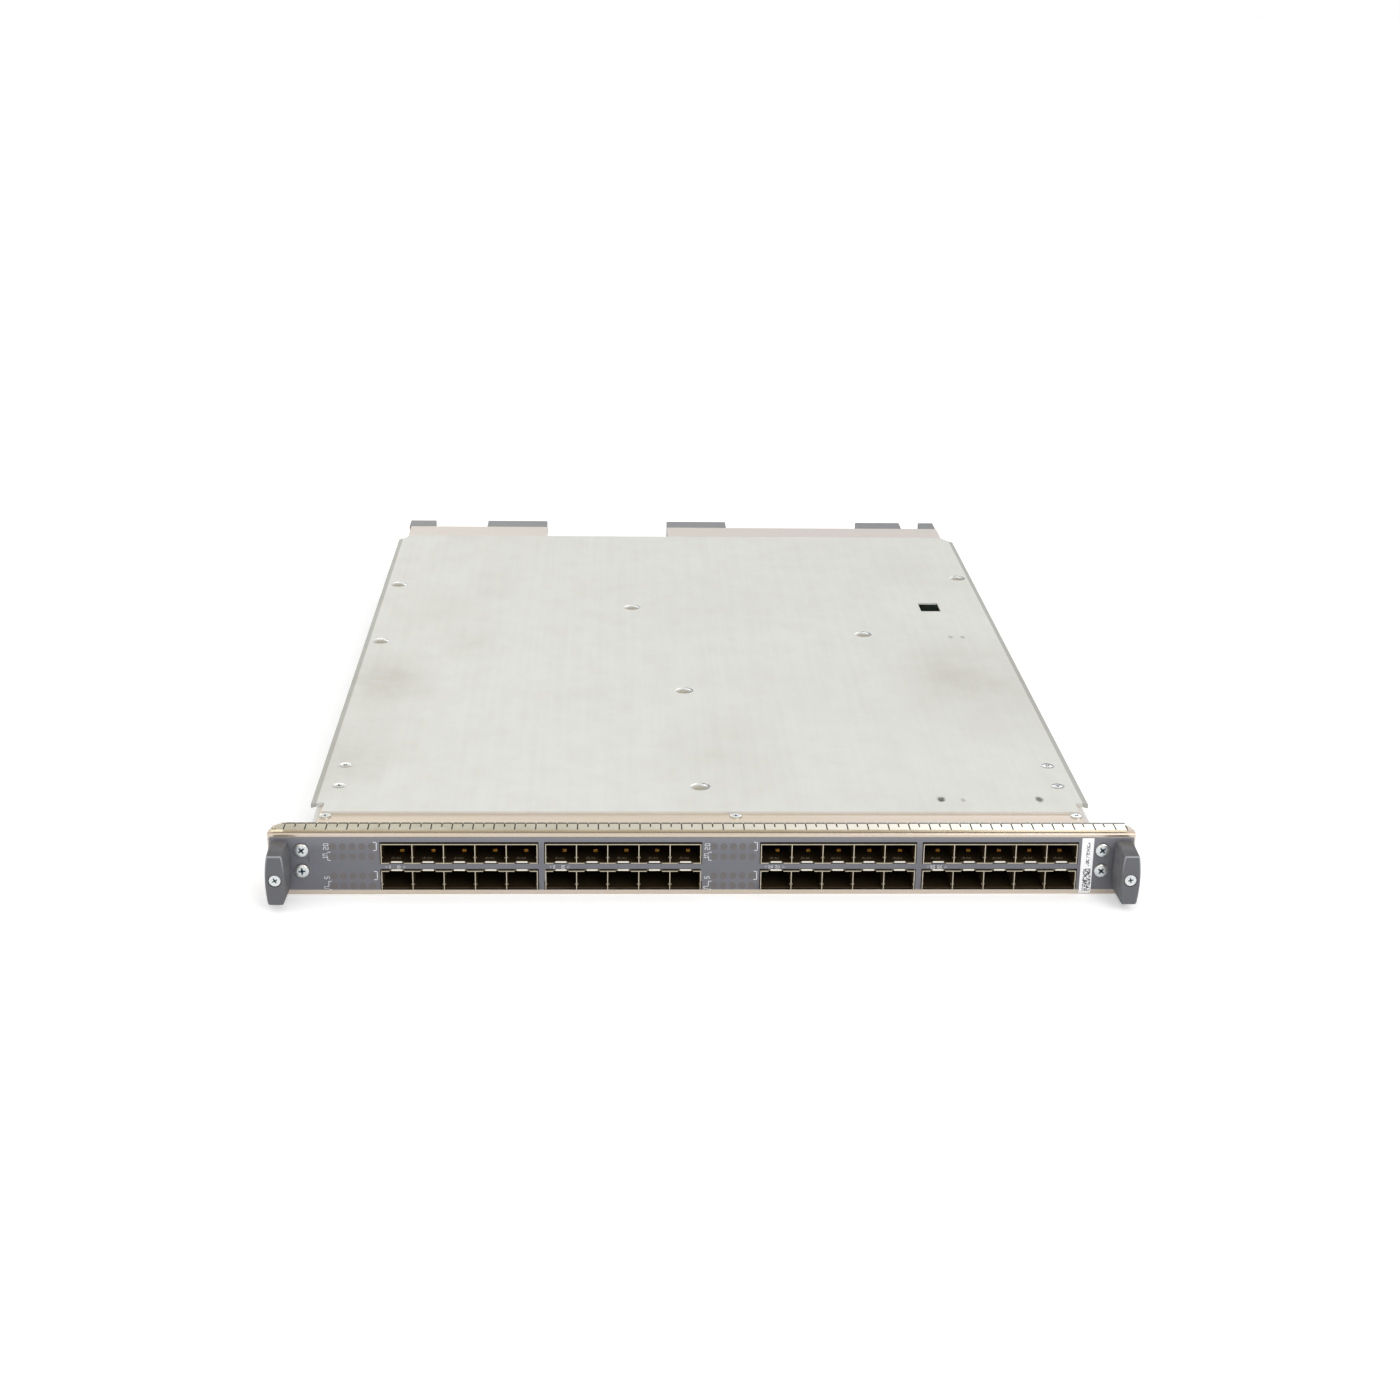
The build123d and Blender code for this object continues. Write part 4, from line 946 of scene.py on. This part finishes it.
def frontPanel():
    # the folded panel, its flange's outer corners cut off; corners in mm from the panel's front
    panel = {"left": ((-200, 3), (-198.4, 3), (-197.2, 8.8), (-192.5, 13.6), (-192.5, 16),
                      (-200, 16)),
             "right": ((200, 16), (195.6, 16), (195.6, 11), (197, 3.9), (198, 1.6), (200, 1.6)),
             "below": 2.2 * mm, "tall": 4 * mm}
    low, high = boxOf("front_panel")
    mesh = meshFrom("panel", mergedNode("front_panel"))
    for side in ("left", "right"):
        bm = bmesh.new()
        addPrism(bm, [(x * mm, low.y + y * mm) for x, y in panel[side]],
                 high.z - panel["below"], panel["tall"])
        mesh = cutMesh(mesh, meshFrom("cornerCut", bm))
    bm = bmesh.new()
    bm.from_mesh(mesh)
    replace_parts(newPiece("frontPanel", bm, "card", nickel, 25), "front_panel")


printed = {"film": 0.03 * mm, "line": 0.3 * mm, "slant": 0.22 * mm, "figure": 0.32 * mm,
           "window": 3.3 * mm, "pitch": 4.35 * mm, "pipe": 2.6 * mm, "windows": 5,
           "shift": {"left": -0.35 * mm, "middle": 1.0 * mm}}
# the window rows' brackets and figures by turns, in mm from the first window, the bracket
# from the window counted by from
rowMarks = ({"at": -2.1, "from": 4, "edge": 2.3, "arm": -1.3, "ends": (-2.0, 2.1)},
            {"at": -2.5, "from": 0, "edge": -2.5, "arm": 1.2, "ends": (-1.9, 2.2)})
rowFigures = ("20", "10", "5", "0")    # from the top row down
# arrows and figures between the port rows, in mm from a cage's left end and the rows' middle
arrows = (((1.9, 0.5), (3.1, 0.5), (2.5, -0.7)), ((9.9, -0.3), (11.1, -0.3), (10.5, 0.9)))
portFigures = (("0", "10"), ("5", "15"), ("20", "20"), ("25", "25"))
strokes = {"a": ((0, 2), (1, 2)), "b": ((1, 2), (1, 1)), "c": ((1, 1), (1, 0)),
           "d": ((0, 0), (1, 0)), "e": ((0, 1), (0, 0)), "f": ((0, 2), (0, 1)),
           "g": ((0, 1), (1, 1))}
digits = {"0": "abcdef", "1": "bc", "2": "abged", "5": "afgcd"}


def addStroke(bm, face, start, end, line):
    # one level or upright line of ink on the film, from and to (x, z)
    left, right = sorted((start[0], end[0]))
    bottom, top = sorted((start[1], end[1]))
    addBlock(bm, (left - line / 2, face - printed["film"], bottom - line / 2),
             (right + line / 2, face + 0.01 * mm, top + line / 2))


def addSlant(bm, face, start, end):
    # a sloping line of ink
    run = Vector((end[0] - start[0], 0, end[1] - start[1]))
    matrix = (moved((start[0] + end[0]) / 2, face, (start[1] + end[1]) / 2)
              @ run.to_track_quat("X", "Y").to_matrix().to_4x4()
              @ Matrix.Diagonal((run.length, printed["film"] * 2, printed["slant"], 1)))
    bmesh.ops.create_cube(bm, size=1, matrix=matrix)


def addNumber(bm, face, text, x, z, height, turned=False):
    # plain figures; turned ones read upward
    unit = height / 2
    for place, digit in enumerate(text):
        for name in digits[digit]:
            ends = []
            for across, up in strokes[name]:
                u = place * unit * 1.75 + across * unit
                v = up * unit
                ends.append((x - v, z + u) if turned else (x + u, z + v))
            addStroke(bm, face, *ends, printed["figure"])


def addRow(windows, marks, face, first, z, figures, row):
    # a row of round windows with a bracket at one end and a turned figure at the other
    radius = printed["window"] / 2
    for k in range(printed["windows"]):
        matrix = moved(first + k * printed["pitch"], face, z) @ spun(90, "X")
        bmesh.ops.create_cone(windows, cap_ends=True, segments=24, radius1=radius,
                              radius2=radius, depth=printed["film"], matrix=matrix)
    edge = first + row["from"] * printed["pitch"] + row["edge"] * mm
    ends = [z + end * mm for end in row["ends"]]
    addStroke(marks, face, (edge, ends[0]), (edge, ends[1]), printed["line"])
    for end in ends:
        addStroke(marks, face, (edge, end), (edge + row["arm"] * mm, end), printed["line"])
    addNumber(marks, face, figures, first + row["at"] * mm, z - 1.5 * mm, 2.1 * mm, True)


def statusBanks():
    # status windows in the film, and all that is printed on it
    face = boxOf("front_overlay")[0].y
    windows, marks = bmesh.new(), bmesh.new()
    for side in ("left", "middle"):
        boxes = [box for box in islandBoxes(f"light_guides_{side}") if box[0].y < face + 3 * mm]
        boxes.sort(key=lambda box: -box[0].z)
        for row, (low, high) in enumerate(boxes):
            first = low.x + printed["pipe"] / 2 + printed["shift"][side]
            addRow(windows, marks, face, first, (low.z + high.z) / 2, rowFigures[row],
                   rowMarks[row % 2])
    middle = (boxOf("upper_cage_1")[0].z + boxOf("lower_cage_1")[1].z) / 2
    for cage, (first, second) in enumerate(portFigures, 1):
        start = boxOf(f"upper_cage_{cage}")[0].x
        for arrow in arrows:
            corners = [(start + x * mm, middle + z * mm) for x, z in arrow]
            for k in range(3):
                addSlant(marks, face, corners[k], corners[(k + 1) % 3])
        for text, aside in ((first, 3.7), (second, 6.9)):
            addNumber(marks, face, text, start + aside * mm, middle - 0.65 * mm, 1.3 * mm)
    newPiece("lightWindows", windows, "card", windowFilm)
    newPiece("printedMarks", marks, "card", ink)


for side in ("left", "right"):
    addKnob(side)
frontOverlay()
frontPanel()
statusBanks()
print("overlay and knobs ready")


# inside the ports

port = {"pitch": 14.25 * mm, "count": 5, "tall": 9.7 * mm, "wall": 0.4 * mm,
        "tongue": (0.3, 0.62), "leaf": (0.54, 0.67), "tongueAt": 5.0 * mm, "leafAt": 12.8 * mm,
        "ragged": (0.3, 0.75, 0.4, 0.2, 0.65, 0.35, 0.55), "tongueSheet": 0.3 * mm,
        "leafTall": 1.2 * mm, "leafLean": 0.3 * mm, "leafSheet": 0.15 * mm,
        "bumpAside": 0.5 * mm, "bumpAt": 1.3 * mm, "bumpUp": 0.27, "bumpRadius": 0.42 * mm,
        "bumpShape": (0.9, 1.4, 0.9), "tabHalf": 2.5 * mm, "tabFront": 0.22 * mm,
        "tabRear": 0.6 * mm, "tabUp": 0.36 * mm, "tabBevel": 0.1 * mm, "tabLow": 0.675 * mm,
        "tabHigh": 0.325 * mm}


def addTongue(bm, left, right, front, floor):
    # the ragged raised end of a stamped tongue in the port's floor
    width = (right - left) / len(port["ragged"])
    for k, tall in enumerate(port["ragged"]):
        addBlock(bm, (left + k * width, front, floor),
                 (left + (k + 0.6) * width, front + port["tongueSheet"], floor + tall * mm))


def addBump(bm, x, y, z):
    made = bmesh.ops.create_icosphere(bm, subdivisions=2, radius=port["bumpRadius"])
    bmesh.ops.transform(bm, matrix=moved(x, y, z) @ Matrix.Diagonal((*port["bumpShape"], 1)),
                        verts=made["verts"])


def addLeaf(bm, left, right, y, floor):
    # leans back, so that it mirrors the light from the port's mouth
    rear, top = y + port["leafLean"], floor + port["leafTall"]
    corners = ((left, y, floor), (right, y, floor), (right, rear, top), (left, rear, top))
    face = bm.faces.new([bm.verts.new(corner) for corner in corners])
    bmesh.ops.solidify(bm, geom=[face], thickness=port["leafSheet"])


def portSprings():
    # grounding bumps and a bright tab in every port, a tongue and a gilt leaf in the upper ones
    tongues, leaves, tabs = bmesh.new(), bmesh.new(), bmesh.new()
    for row, upper in (("upper", True), ("lower", False)):
        for cage in (1, 2, 3, 4):
            low, high = boxOf(f"{row}_cage_{cage}")
            base = high.z - port["tall"] if upper else low.z
            level = base + port["tabLow"] if upper else base + port["tall"] + port["tabHigh"]
            floor = base + port["wall"]
            for k in range(port["count"]):
                start = low.x + k * port["pitch"]
                if upper:
                    sides = [start + share * port["pitch"] for share in port["tongue"]]
                    addTongue(tongues, *sides, low.y + port["tongueAt"], floor)
                    sides = [start + share * port["pitch"] for share in port["leaf"]]
                    addLeaf(leaves, *sides, low.y + port["leafAt"], floor)
                for aside in (port["bumpAside"], port["pitch"] - port["bumpAside"]):
                    addBump(tongues, start + aside, low.y + port["bumpAt"],
                            base + port["bumpUp"] * port["tall"])
                middle = start + 0.5 * port["pitch"]
                addBlock(tabs, (middle - port["tabHalf"], low.y + port["tabFront"],
                                level - port["tabUp"]),
                         (middle + port["tabHalf"], low.y + port["tabRear"],
                          level + port["tabUp"]), port["tabBevel"])
    newPiece("portTongues", tongues, "card", springTin, 40)
    newPiece("contactLeaves", leaves, "card", gold, 40)
    newPiece("latchTabs", tabs, "card", tabMetal, 40)


portSprings()
print("port springs ready")

bpy.context.scene.view_settings.view_transform = "Standard"
